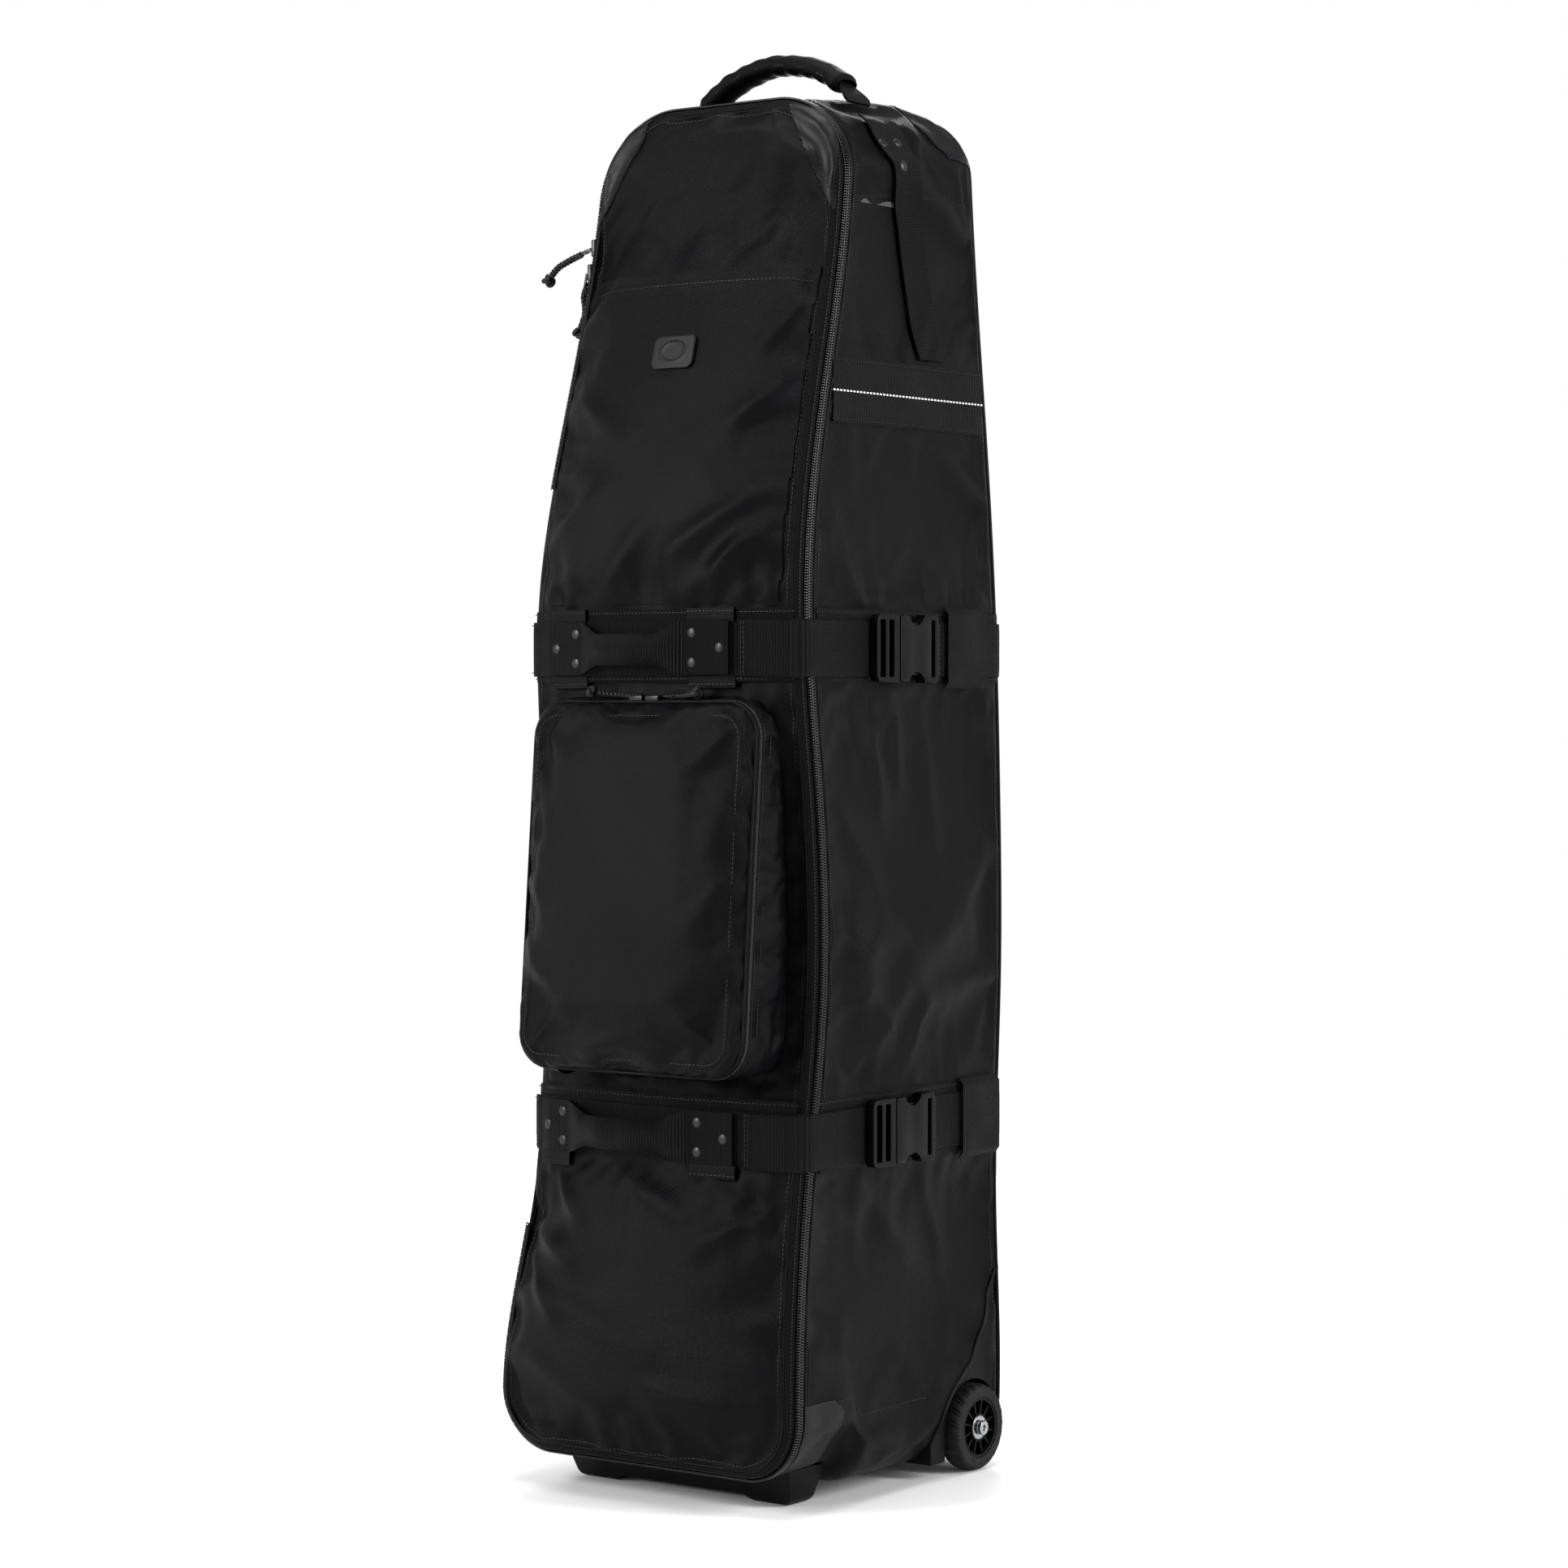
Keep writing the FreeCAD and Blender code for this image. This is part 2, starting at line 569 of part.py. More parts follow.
def buckle_pieces(name, s):
    """Side-release buckle on the right side: socket on the case, ladder on the belt, two spring arms."""
    widest = max(half_width(s["belt_z"] + v) for v in (-BUCKLE_HALF, 0, BUCKLE_HALF))
    base = Vector(widest + BELT_OUT + SKIN, s["buckle_y"], s["belt_z"])

    def part(corners, t0, t1, radii=0.0):
        shape = slab("yz", corners, t0, t1, radii)
        shape.translate(base)
        return shape

    h = BUCKLE_HALF
    socket = part([(0.4, -h + 2), (SOCKET, -h), (SOCKET, h), (0.4, h - 2)], 0, BUCKLE_T, [3, 5, 5, 3])
    socket = socket.cut(part([(-1, -24), (44, -24), (44, 24), (-1, 24)], 2.2, BUCKLE_T - 2.2, [0, 6, 6, 0]))
    for sign in (1, -1):
        notch = rod(13.5, base + Vector(-1, 26, sign * 34.5), base + Vector(BUCKLE_T + 1, 26, sign * 34.5))
        socket = socket.cut(notch)
    socket = socket.cut(part([(48.5, -25.5), (54.5, -25.5), (54.5, 25.5), (48.5, 25.5)], -1, BUCKLE_T + 1, 1.5))
    save(f"{name}_buckle_socket", [socket])

    ladder = part([(-LADDER, -h + 1), (0, -h + 1), (0, h - 1), (-LADDER, h - 1)], 0.6, BUCKLE_T - 0.6, [7, 2, 2, 7])
    for u0, u1 in ((-30, -21.5), (-16.5, -8.5)):
        ladder = ladder.cut(part([(u0, -25.5), (u1, -25.5), (u1, 25.5), (u0, 25.5)], -1, BUCKLE_T + 1, 1.5))
    guide = part([(-1, -5), (40, -5), (40, 5), (-1, 5)], 3.2, BUCKLE_T - 3.2, [0, 3, 3, 0])
    save(f"{name}_buckle_ladder", [ladder.fuse(guide).removeSplitter()])

    arm = [(0.6, 15.5), (16, 15.5), (38, 15), (38, 19), (33.5, 23.4), (19, 23.4), (15, 20), (0.6, 20)]
    for side, sign in (("upper", 1), ("lower", -1)):
        corners = [(u, sign * v) for u, v in arm]
        save(f"{name}_buckle_{side}_arm", [part(corners, 2.8, BUCKLE_T - 2.8, [0, 0, 1.5, 2, 2, 1.5, 1, 0])])

    x = widest + BELT_OUT + SKIN
    return [rivet(Vector(x, s["buckle_y"] + SOCKET + 9, s["belt_z"] + dz), Vector(1, 0, 0)) for dz in (12, -12)]


# ---------------------------------------------------------------- front pocket

def pocket_outline(inset):
    (x0, x1), (z0, z1) = POCKET_X, POCKET_Z
    corners = [(x0 + inset, z0 + inset), (x1 - inset, z0 + inset), (x1 - inset, z1 - inset), (x0 + inset, z1 - inset)]
    return corners, POCKET_R - inset


def pocket_slant(front, back):
    """Everything between two copies of the slanted plane of the pocket's face, moved by front and back."""
    (y0, z0), (y1, z1) = (POCKET_LOW_Y, POCKET_Z[0]), (POCKET_TOP_Y, POCKET_Z[1])
    slope = (y1 - y0) / (z1 - z0)
    low, high = y0 - slope * 20, y1 + slope * 20
    corners = [(low + front, z0 - 20), (low + back, z0 - 20), (high + back, z1 + 20), (high + front, z1 + 20)]
    return slab("yz", corners, -REACH, REACH)


def front_pocket():
    """Box pocket between the straps: a wall ring on the front panel and a zipped face that leans out."""
    def column(inset):
        corners, r = pocket_outline(inset)
        return slab("xz", corners, -REACH, 0, r)

    in_front = band(-REACH, 0).cut(crowned(-SKIN, REACH))
    wall = column(0).cut(column(POCKET_WALL)).common(pocket_slant(POCKET_FACE + 0.5, REACH)).common(in_front)
    save("pocket_gusset", [wall])
    save("pocket_face", [column(0).common(pocket_slant(0, POCKET_FACE))])
    chain = column(-TRIM - SKIN).cut(column(-SKIN)).common(pocket_slant(POCKET_FACE + 0.8, POCKET_FACE + 8))
    save("pocket_zip_chain", [chain])
    top = POCKET_Z[1] + TRIM + 2 * SKIN
    y = POCKET_TOP_Y + POCKET_FACE + 4.6
    sliders = []
    for name, x in POCKET_SLIDER_X.items():
        sign = -1 if name == "left" else 1
        body = box((x - 7, x + 7), (y - 4, y + 4), (top, top + 4.5))
        body = body.makeFillet(1.3, [e for e in body.Edges if e.CenterOfMass.z > top + 4.4])
        tab = box((x - 3.2, x + 3.2), (y + 4.3, y + 13.5), (top + 1.4, top + 3.0))
        tab = tab.cut(rod(1.6, Vector(x, y + 10, 0), Vector(x, y + 10, 2000)))
        sliders += [body, tab]
        start = Vector(x + sign * 4.0, y + 10, top + PULL_CORD_R)
        route = [start + Vector(sign * a, b, c) for a, b, c in POCKET_ROUTE]
        save(f"pocket_{name}_cord", [cord_with_knot("pocket " + name, route)])
    save("pocket_sliders", sliders)


# Cord routes on top of the pocket, as (outwards, backwards, up) from the side of the metal tab.
POCKET_ROUTE = [(0, 0, 0), (9, -1.5, 0.4), (18, -1, 0.6), (27, -4.5, 1.2), (35, -7.5, 2), (42, -11, 3)]


# ---------------------------------------------------------------- side webbing and top handle

def side_webbing(rivets):
    """Load webbing from the handle down each side to a wide reflective band."""
    layer = ring(-SKIN - WEBBING, -SKIN)
    slant = [(64, 1010.4), (102, 1010.4), (61, 1192), (61, 1250), (23, 1250), (23, 1192)]
    run = layer.common(slab("yz", slant, 92, REACH))
    bands = layer.common(behind(TAPE + 1, 0)).common(box((0, REACH), (-REACH, REACH), (952, 1010)))
    save("side_webbing", both(run))
    save("reflective_bands", both(bands))
    centre = Vector(half_width(CASE_TOP - TOP_CORNER) - TOP_CORNER, 0, CASE_TOP - TOP_CORNER)
    for turn, y in ((36, HANDLE_Y - 10), (36, HANDLE_Y + 10), (56, HANDLE_Y)):
        a = math.radians(turn)
        normal = Vector(math.sin(a), 0, math.cos(a))
        at = centre + Vector(0, y, 0) + normal * (TOP_CORNER + SKIN + WEBBING + SKIN)
        rivets += both(rivet(at, normal))


def top_handle():
    """Webbing arch with a padded sleeve; it swings about a line across its two ends."""
    centre = Vector(0, HANDLE_Y, ARCH_TOP - ARCH_R)
    start = Vector(0, 1, 0)

    def arch(shape, turn=ARCH_ANGLE):
        shape.rotate(centre, start, -turn)
        return shape.revolve(centre, start, 2 * turn)

    def oval(a, b):
        ellipse = Part.Ellipse(Vector(0, HANDLE_Y + a, ARCH_TOP), Vector(0, HANDLE_Y, ARCH_TOP + b),
                               Vector(0, HANDLE_Y, ARCH_TOP))
        return Part.Face(Part.Wire(ellipse.toShape()))

    def strap_section(a, b):
        corners = [(HANDLE_Y - a, ARCH_TOP - b), (HANDLE_Y + a, ARCH_TOP - b), (HANDLE_Y + a, ARCH_TOP + b),
                   (HANDLE_Y - a, ARCH_TOP + b)]
        return Part.Face(rounded_wire("yz", corners, [0] * 4))

    sleeve = arch(oval(SLEEVE_A, SLEEVE_B)).cut(arch(strap_section(11.3, 1.8)))
    save("handle_sleeve", [sleeve])
    core = arch(strap_section(11, 1.5))
    turn = math.radians(ARCH_ANGLE)
    end = (ARCH_R * math.sin(turn), centre.z + ARCH_R * math.cos(turn))
    legs = []
    for sign in (1, -1):
        x, z = sign * end[0], end[1]
        low = HANDLE_LEG_Z
        corners = [(x - sign * 0.4, z + 1.7), (x - sign * 1.6, z - 1.6), (sign * 88.0, low), (sign * 91.5, low)]
        plate = slab("xz", corners, HANDLE_Y - HANDLE_HALF, HANDLE_Y + HANDLE_HALF)
        taper = [(-6, low), (6, low), (HANDLE_HALF, low + 12), (13, low + 24), (-13, low + 24), (-HANDLE_HALF, low + 12)]
        leg = plate.common(slab("yz", [(HANDLE_Y + a, b) for a, b in taper], -200, 200))
        legs.append(leg.cut(arch(oval(SLEEVE_A + 1, SLEEVE_B + 1), ARCH_ANGLE + 0.2)))
    save("handle_webbing", [core] + legs)


# ---------------------------------------------------------------- wheels

def wheels():
    """Tyre, spoked hub and two ball bearings on a bolt, for each side."""
    def disc(r, x0, x1):
        return rod(r, Vector(x0, WHEEL_Y, WHEEL_Z), Vector(x1, WHEEL_Y, WHEEL_Z))

    x0, x1 = WHEEL_IN, WHEEL_IN + WHEEL_W
    tyre = disc(TYRE_R, x0, x1)
    tyre = tyre.makeFillet(5, [e for e in tyre.Edges if abs(e.Length - 2 * math.pi * TYRE_R) < 0.1])
    tyre = tyre.cut(disc(TYRE_BORE, x0 - 1, x1 + 1))
    web = disc(HUB_R, x0 + 9, x0 + 13)
    rim = disc(HUB_R, x0 + 1, x1 - 1).cut(disc(HUB_R - 3, x0, x1))
    core = disc(HUB_CORE, x0 + 0.5, x1 - 1.5)
    hub = web.fuse(rim).fuse(core)
    for i in range(SPOKES):
        spoke = box((x0 + 3, x1 - 3), (WHEEL_Y - 0.9, WHEEL_Y + 0.9), (WHEEL_Z + HUB_CORE - 1, WHEEL_Z + HUB_R - 2))
        spoke.rotate(Vector(0, WHEEL_Y, WHEEL_Z), Vector(1, 0, 0), i * 360 / SPOKES + 15)
        hub = hub.fuse(spoke)
    hub = hub.removeSplitter()
    hub = hub.cut(disc(BEARING_R, x0, x0 + 0.5 + BEARING_W)).cut(disc(BEARING_R, x1 - 1.5 - BEARING_W, x1))
    hub = hub.cut(disc(BEARING_R - 2, x0, x1))
    bearings = []
    for low in (x0 + 0.5, x1 - 1.5 - BEARING_W):
        bearings.append(disc(BEARING_R - 0.05, low, low + BEARING_W - 0.1).cut(disc(BEARING_BORE, 0, 300)))
    for side in ("right", "left"):
        flip = (lambda shape: shape) if side == "right" else mirrored
        save(f"{side}_tyre", [flip(tyre)])
        save(f"{side}_hub", [flip(hub)])
        save(f"{side}_bearings", [flip(b) for b in bearings])

    inside = HOUSING_IN + 6
    nut = disc(7.5, inside - 6.5, inside - 0.2).cut(disc(BOLT_R, 0, 300))
    bolt = disc(BOLT_R - 0.02, inside - 9, x1 - 0.6)
    head = disc(BOLT_HEAD_R, x1 - 0.6, x1 - 0.6 + BOLT_HEAD_H).cut(disc(2.6, x1 + 1, x1 + 9))
    save("axle_bolts", both(bolt.fuse(head).removeSplitter()) + both(nut))


shell_panels()
corner_patches()
wheel_housings()
foot_bar()
main_zip()
main_sliders()
front_panel()
case_rivets = straps()
front_pocket()
side_webbing(case_rivets)
save("case_rivets", case_rivets)
top_handle()
wheels()
for z in (230, 900, 1000, 1101, 1124, 1160, STRAPS["mid"]["belt_z"], STRAPS["lower"]["belt_z"]):
    print(f"z {z:6.1f}: half width {half_width(z):.2f}, zip line {zip_y(z):.2f}, front {front_y(0, z):.2f}")
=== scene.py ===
"""Soft-sided wheeled golf travel case: its fabric, webbing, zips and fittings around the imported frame.

Lengths are metres, +Z is up and the zipped front panel faces -Y. Every soft piece follows the same few
surfaces as the frame: a table of stations gives the case's half width, zip line, front crown and back.
"""

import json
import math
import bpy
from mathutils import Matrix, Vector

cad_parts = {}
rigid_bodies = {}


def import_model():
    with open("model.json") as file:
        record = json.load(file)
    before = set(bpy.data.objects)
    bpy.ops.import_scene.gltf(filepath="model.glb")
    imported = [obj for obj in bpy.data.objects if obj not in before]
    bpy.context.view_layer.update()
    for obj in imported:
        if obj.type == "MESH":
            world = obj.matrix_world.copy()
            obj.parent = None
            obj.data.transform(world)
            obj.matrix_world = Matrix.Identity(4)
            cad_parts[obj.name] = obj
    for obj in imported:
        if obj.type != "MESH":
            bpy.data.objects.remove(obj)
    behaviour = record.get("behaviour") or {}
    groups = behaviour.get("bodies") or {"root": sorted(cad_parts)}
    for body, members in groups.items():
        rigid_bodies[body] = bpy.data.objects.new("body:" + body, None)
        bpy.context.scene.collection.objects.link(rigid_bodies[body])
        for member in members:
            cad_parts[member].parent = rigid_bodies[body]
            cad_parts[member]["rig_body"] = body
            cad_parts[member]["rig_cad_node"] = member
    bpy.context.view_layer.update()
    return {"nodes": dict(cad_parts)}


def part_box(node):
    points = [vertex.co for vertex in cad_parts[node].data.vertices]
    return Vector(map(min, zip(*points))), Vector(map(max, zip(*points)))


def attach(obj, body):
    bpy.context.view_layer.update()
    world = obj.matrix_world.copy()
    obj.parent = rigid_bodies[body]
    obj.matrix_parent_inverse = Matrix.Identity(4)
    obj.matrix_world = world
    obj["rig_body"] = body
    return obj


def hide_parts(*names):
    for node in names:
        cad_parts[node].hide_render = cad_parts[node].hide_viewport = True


bl_info = {
    "name": "Golf travel case",
    "version": (1, 0, 0),
    "blender": (4, 5, 0),
    "location": "3D View > Sidebar > Travel Case",
    "description": "Builds the soft goods, fittings and stage of a wheeled golf travel case",
    "category": "Object",
}

import bpy
import numpy as np
from bpy.props import FloatProperty, FloatVectorProperty, PointerProperty
from mathutils import Vector
from mathutils.bvhtree import BVHTree

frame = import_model()

# Stations of the case: height, half width, y of the zip line, crown of the front panel, y of the back.
STATIONS = np.array([
    (0.000, 0.161, -0.146, 0.006, 0.171),
    (0.095, 0.162, -0.150, 0.014, 0.174),
    (0.250, 0.151, -0.126, 0.018, 0.184),
    (0.454, 0.154, -0.104, 0.010, 0.187),
    (0.620, 0.153, -0.108, 0.010, 0.187),
    (0.800, 0.148, -0.118, 0.014, 0.186),
    (0.938, 0.142, -0.094, 0.018, 0.182),
    (1.125, 0.137, -0.048, 0.012, 0.168),
    (1.250, 0.133, -0.032, 0.006, 0.164),
])
CASE_BOTTOM, CASE_TOP = 0.034, 1.242
BOTTOM_CORNER, FRONT_TOP_CORNER, BACK_TOP_CORNER = 0.052, 0.078, 0.056
BELLY, BELLY_Y = 0.012, (-0.074, -0.040)
DOME = 0.007
BACK_ROLL = 0.013           # radius where the sides turn into the back
CROWN_HALF = 0.162
RIM, ROLL = 0.0021, 0.0075  # flat edge of the front panel, and the radius that follows it
EDGE = RIM + ROLL
HINGE_LOW, HINGE_HIGH = 0.230, 0.900
SHOULDER_Z, SILL_Z = 1.150, 0.092

BAND_HALF, BELT_HALF = 0.032, 0.0245
STRAPS = {
    "mid": {"band_z": 0.756, "belt_z": 0.754, "buckle_y": 0.002, "keeper": (0.088, 0.150),
            "grip": (-0.077, 0.038), "patch_left": (-0.120, -0.077), "patch_right": (0.038, 0.088)},
    "lower": {"band_z": 0.328, "belt_z": 0.325, "buckle_y": -0.004, "keeper": (0.112, 0.172),
              "grip": (-0.096, 0.042), "patch_left": (-0.134, -0.096), "patch_right": (0.042, 0.090)},
}
LADDER, SOCKET = 0.035, 0.060
BAND_OUT, BELT_OUT, TAIL_OUT, WEB = 0.0004, 0.0027, 0.0050, 0.0018
GRIP_RISE = 0.019

POCKET_X, POCKET_Z, POCKET_R = (-0.122, 0.125), (0.382, 0.706), 0.032
POCKET_SLANT = (-0.186, -0.160)
POCKET_MIDDLE = (POCKET_X[0] + POCKET_X[1]) / 2
POCKET_HALF = (POCKET_X[1] - POCKET_X[0]) / 2

WHEEL_Y, WHEEL_Z, WHEEL_IN, WHEEL_W = 0.134, 0.040, 0.142, 0.022
TYRE_R, SHOULDER_R, TYRE_BORE = 0.040, 0.0335, 0.028
HANDLE_Y, ARCH_TOP, ARCH_R, ARCH_ANGLE, HANDLE_LOW = 0.042, 1.289, 0.1283, 37.0, 1.2475

# Cord routes: their points, in order from the metal tab to the knot.
SLIDER_Z = {"upper": 1.124, "lower": 1.101}
PULL_AIM = {"upper": (-0.95, 0.0, -0.31), "lower": (-0.2, 0.0, -0.98)}
PULL_ROUTE = {
    "upper": [(0.013, 0, 0), (0.022, 0.002, -0.001), (0.031, -0.002, 0.001), (0.041, -0.005, 0.003),
              (0.049, -0.004, 0.008)],
    "lower": [(0.013, 0, 0), (0.021, -0.003, 0), (0.029, 0.002, 0.001), (0.038, 0.004, 0.002),
              (0.049, 0, 0.002)],
}
POCKET_SLIDER_X = {"left": -0.010, "right": 0.008}
POCKET_ROUTE = [(0, 0, 0), (0.009, -0.0015, 0.0004), (0.018, -0.001, 0.0006), (0.027, -0.0045, 0.0012),
                (0.035, -0.0075, 0.002), (0.042, -0.011, 0.003)]
CORD_D = 0.0064
KNOT_R = 0.0065
STRAND_OUT, STRAND_R, STRAND_LAY = 0.00165, 0.00168, 0.011
RIVET_R = 0.0055

HOUSING = [(0.067, 0.006), (0.185, 0.006), (0.185, 0.184), (0.172, 0.184), (0.143, 0.136), (0.126, 0.103),
           (0.098, 0.088), (0.076, 0.066), (0.067, 0.049)]

# Where the pieces on the fabric sit, and how thick the fabric is.
SLASH_FOOT, SLASH_HEM, SLASH_HALF = 0.792, 1.091, 0.131
BADGE_Z, BADGE_HALF = 1.017, 0.023
REFLECTOR_Z, REFLECTOR_HALF = 0.981, 0.029
CLOTH, PANEL_CLOTH, POCKET_CLOTH = 0.003, 0.0028, 0.002
TRIM_OUT, TRIM = 0.0011, 0.0009
PIPING_R, CORD_PIPING_R = 0.0012, 0.0019
ZIP_STEPS, ZIP_LENGTH = 760, 2.33
POCKET_STEPS, POCKET_ROUND = 400, 1.09

# Load webbing down the side: height and y of its middle.
SIDE_RUN = np.array([(1.010, 0.083), (1.060, 0.074), (1.125, 0.062), (1.188, 0.040), (1.260, 0.032)])

# Points along each stretch of a section round the case.
FRONT_STEPS, ROLL_STEPS, SIDE_STEPS, BACK_STEPS = 40, 8, 60, 29

STITCHES = {}               # body to stitch places, filled while the pieces are made
FORMS = {}                  # finished fabric surfaces that trims are laid on


# ---------------------------------------------------------------- surfaces of the case

def through_stations(column):
    """Natural cubic curve over height through one column of the stations."""
    z, v = STATIONS[:, 0], STATIONS[:, column]
    step, count = np.diff(z), len(z)
    rows, bend = np.eye(count), np.zeros(count)
    for i in range(1, count - 1):
        rows[i, i - 1:i + 2] = step[i - 1], 2 * (step[i - 1] + step[i]), step[i]
        bend[i] = 6 * ((v[i + 1] - v[i]) / step[i] - (v[i] - v[i - 1]) / step[i - 1])
    m = np.linalg.solve(rows, bend)

    def value(at):
        at = np.clip(at, z[0], z[-1])
        i = np.clip(np.searchsorted(z, at) - 1, 0, count - 2)
        h, below, above = step[i], at - z[i], z[i + 1] - at
        curve = (m[i] * above ** 3 + m[i + 1] * below ** 3) / (6 * h)
        return curve + (v[i] / h - m[i] * h / 6) * above + (v[i + 1] / h - m[i + 1] * h / 6) * below
    return value


half_width, zip_y, crown, back_y = (through_stations(column) for column in (1, 2, 3, 4))


def ease(t):
    """Smooth step from 0 to 1."""
    t = np.clip(t, 0.0, 1.0)
    return t * t * (3 - 2 * t)


def mix(a, b, t):
    return a + (b - a) * t


def outline(h, out=0.0, top=CASE_TOP, top_r=FRONT_TOP_CORNER, low=CASE_BOTTOM, low_r=BOTTOM_CORNER):
    """Right half of the front outline: x, z and the outward normal's x and z.

    h runs evenly from 0 at the middle of the bottom to 1 at the middle of the top.
    """
    h, top, top_r, low, low_r, out = np.broadcast_arrays(*map(np.asarray, (h, top, top_r, low, low_r, out)))
    z0, z1 = low + low_r, top - top_r
    x0, x1 = half_width(z0), half_width(z1)
    ends = np.cumsum([x0 - low_r, low_r * math.pi / 2, z1 - z0, top_r * math.pi / 2, x1 - top_r], axis=0)
    at = h * ends[-1]
    parts = [at < ends[0], at < ends[1], at < ends[2], at < ends[3]]
    turn_low, turn_top = (at - ends[0]) / low_r, (at - ends[2]) / top_r
    side_z = z0 + at - ends[1]
    nx = np.select(parts, [0 * at, np.sin(turn_low), 0 * at + 1, np.cos(turn_top)], 0)
    nz = np.select(parts, [0 * at - 1, -np.cos(turn_low), 0 * at, np.sin(turn_top)], 1)
    x = np.select(parts, [at, x0 - low_r + low_r * nx, half_width(side_z), x1 - top_r + top_r * nx],
                  x1 - top_r - (at - ends[3]))
    z = np.select(parts, [low, z0 + low_r * nz, side_z, z1 + top_r * nz], top)
    return x + out * nx, z + out * nz, nx, nz


def both_halves(u):
    """Share of the right half's outline, and the side's sign, for u once round from the bottom's middle."""
    u = np.mod(u, 1.0)
    return np.where(u <= 0.5, 2 * u, 2 - 2 * u), np.where(u <= 0.5, 1.0, -1.0)


def whole_share(h, sign):
    """The share u once round the outline for share h of its right or left half."""
    return h / 2 if sign > 0 else 1 - h / 2


def case_wall(u, v, out=0.0):
    """Points of the case's wall, and their normals: u once round the outline, v from zip to back seam."""
    h, sign = both_halves(u)
    x, z, nx, nz = outline(h)
    y = zip_y(z) + v * (back_y(z) - zip_y(z))
    top = CASE_TOP + DOME * np.sin(np.clip(v, 0, 1) * math.pi) ** 0.8
    top_r = mix(FRONT_TOP_CORNER, BACK_TOP_CORNER, ease(v * 1.2))
    low = mix(CASE_BOTTOM, BELLY, ease((y - BELLY_Y[0]) / (BELLY_Y[1] - BELLY_Y[0])))
    left = np.clip((1 - v) * (back_y(z) - zip_y(z)), 0, BACK_ROLL)
    cut = BACK_ROLL - np.sqrt(np.maximum(BACK_ROLL ** 2 - (BACK_ROLL - left) ** 2, 0))
    x, z, nx, nz = outline(h, out - cut, top, top_r, low)
    y = zip_y(z) + v * (back_y(z) - zip_y(z))
    return np.stack([sign * x, y, z], 1), np.stack([sign * nx, 0 * nx, nz], 1)


def wall_at(u, y, out=0.0):
    """Points of the case's wall at outline share u and a given y."""
    h, _ = both_halves(u)
    z = outline(h)[1]
    return case_wall(u, (y - zip_y(z)) / (back_y(z) - zip_y(z)), out)


def side_share(z):
    """Outline share u at height z on the right side."""
    h = np.linspace(0, 1, 4001)
    heights = outline(h)[1]
    return np.interp(z, heights, h) / 2


def panel_rim(u, q, out=0.0):
    """Points of the front panel's edge, q in from the zip line along its rolled surface, and normals."""
    h, sign = both_halves(u)
    turn = np.clip((q - RIM) / ROLL, 0, math.pi / 2)
    x, z, nx, nz = outline(h)
    depth = np.minimum(q, RIM) + ROLL * np.sin(turn)
    inward = ROLL * (1 - np.cos(turn)) + np.maximum(q - RIM - ROLL * math.pi / 2, 0)
    normal = np.stack([sign * nx * np.cos(turn), -np.sin(turn), nz * np.cos(turn)], 1)
    centre = np.stack([sign * (x - nx * inward), zip_y(z) - depth, z - nz * inward], 1)
    return centre + np.reshape(out, (-1, 1)) * normal, normal


def soft_edge(a, b, half, low, high, r_low, r_high, rim, roll):
    """A rounded panel's grid: x, z, the depth of its rolled edge and the distance in from the edge."""
    grow = rim + roll * (math.pi / 2 - 1)
    a, b = (mix(t, np.sin(t * math.pi / 2), 0.55) for t in (a, b))
    z = mix(low - grow, high + grow, (b + 1) / 2)
    middle = np.clip(z, low + r_low, high - r_high)
    r = np.where(z > middle, r_high, r_low)
    lean = np.abs(z - middle)
    reach = half(middle) - r + np.sqrt(np.maximum((r + grow) ** 2 - lean ** 2, 0))
    x = a * np.where(lean > 0, reach, half(middle) + grow)
    ax = np.abs(x) - (half(middle) - r)
    corner = (lean > 0) & (ax > 0)
    away = np.hypot(np.maximum(ax, 0), lean)
    inside = np.where(corner, r - away, np.minimum(r - ax, np.minimum(high - z, z - low)))
    to_side = (r - ax) <= np.minimum(high - z, z - low)
    nx = np.where(corner, ax / np.maximum(away, 1e-9), np.where(to_side, 1.0, 0.0)) * np.sign(x)
    nz = np.where(corner, lean / np.maximum(away, 1e-9), np.where(to_side, 0.0, 1.0))
    nz = nz * np.where(high - z < z - low, 1.0, -1.0)
    q = inside + grow
    turn = np.clip((q - rim) / roll, 0, math.pi / 2)
    depth = np.minimum(np.maximum(q, 0), rim) + roll * np.sin(turn)
    kept = roll * (1 - np.cos(turn)) + np.maximum(q - rim - roll * math.pi / 2, 0)
    shift = inside - kept
    return x + nx * shift, z + nz * shift, depth, kept


def front_face(x, z, inside):
    """y of the front panel's outer face, with its crown fading out towards its edge."""
    return -crown(z) * (1 - (x / CROWN_HALF) ** 2) * ease(inside / 0.03)


def front_sheet(a, b, out=0.0):
    """The front panel over a grid from -1 to 1 both ways."""
    x, z, depth, inside = soft_edge(a, b, half_width, CASE_BOTTOM, CASE_TOP, BOTTOM_CORNER,
                                    FRONT_TOP_CORNER, RIM, ROLL)
    y = zip_y(z) - depth + front_face(x, z, inside) - out * (depth / EDGE)
    return np.stack([x + np.sign(x) * out * (1 - depth / EDGE), y, z], 1)


def front_y(x, z):
    """y of the front panel at a place well inside its edge."""
    return zip_y(z) - EDGE + front_face(x, z, half_width(z) - np.abs(x))


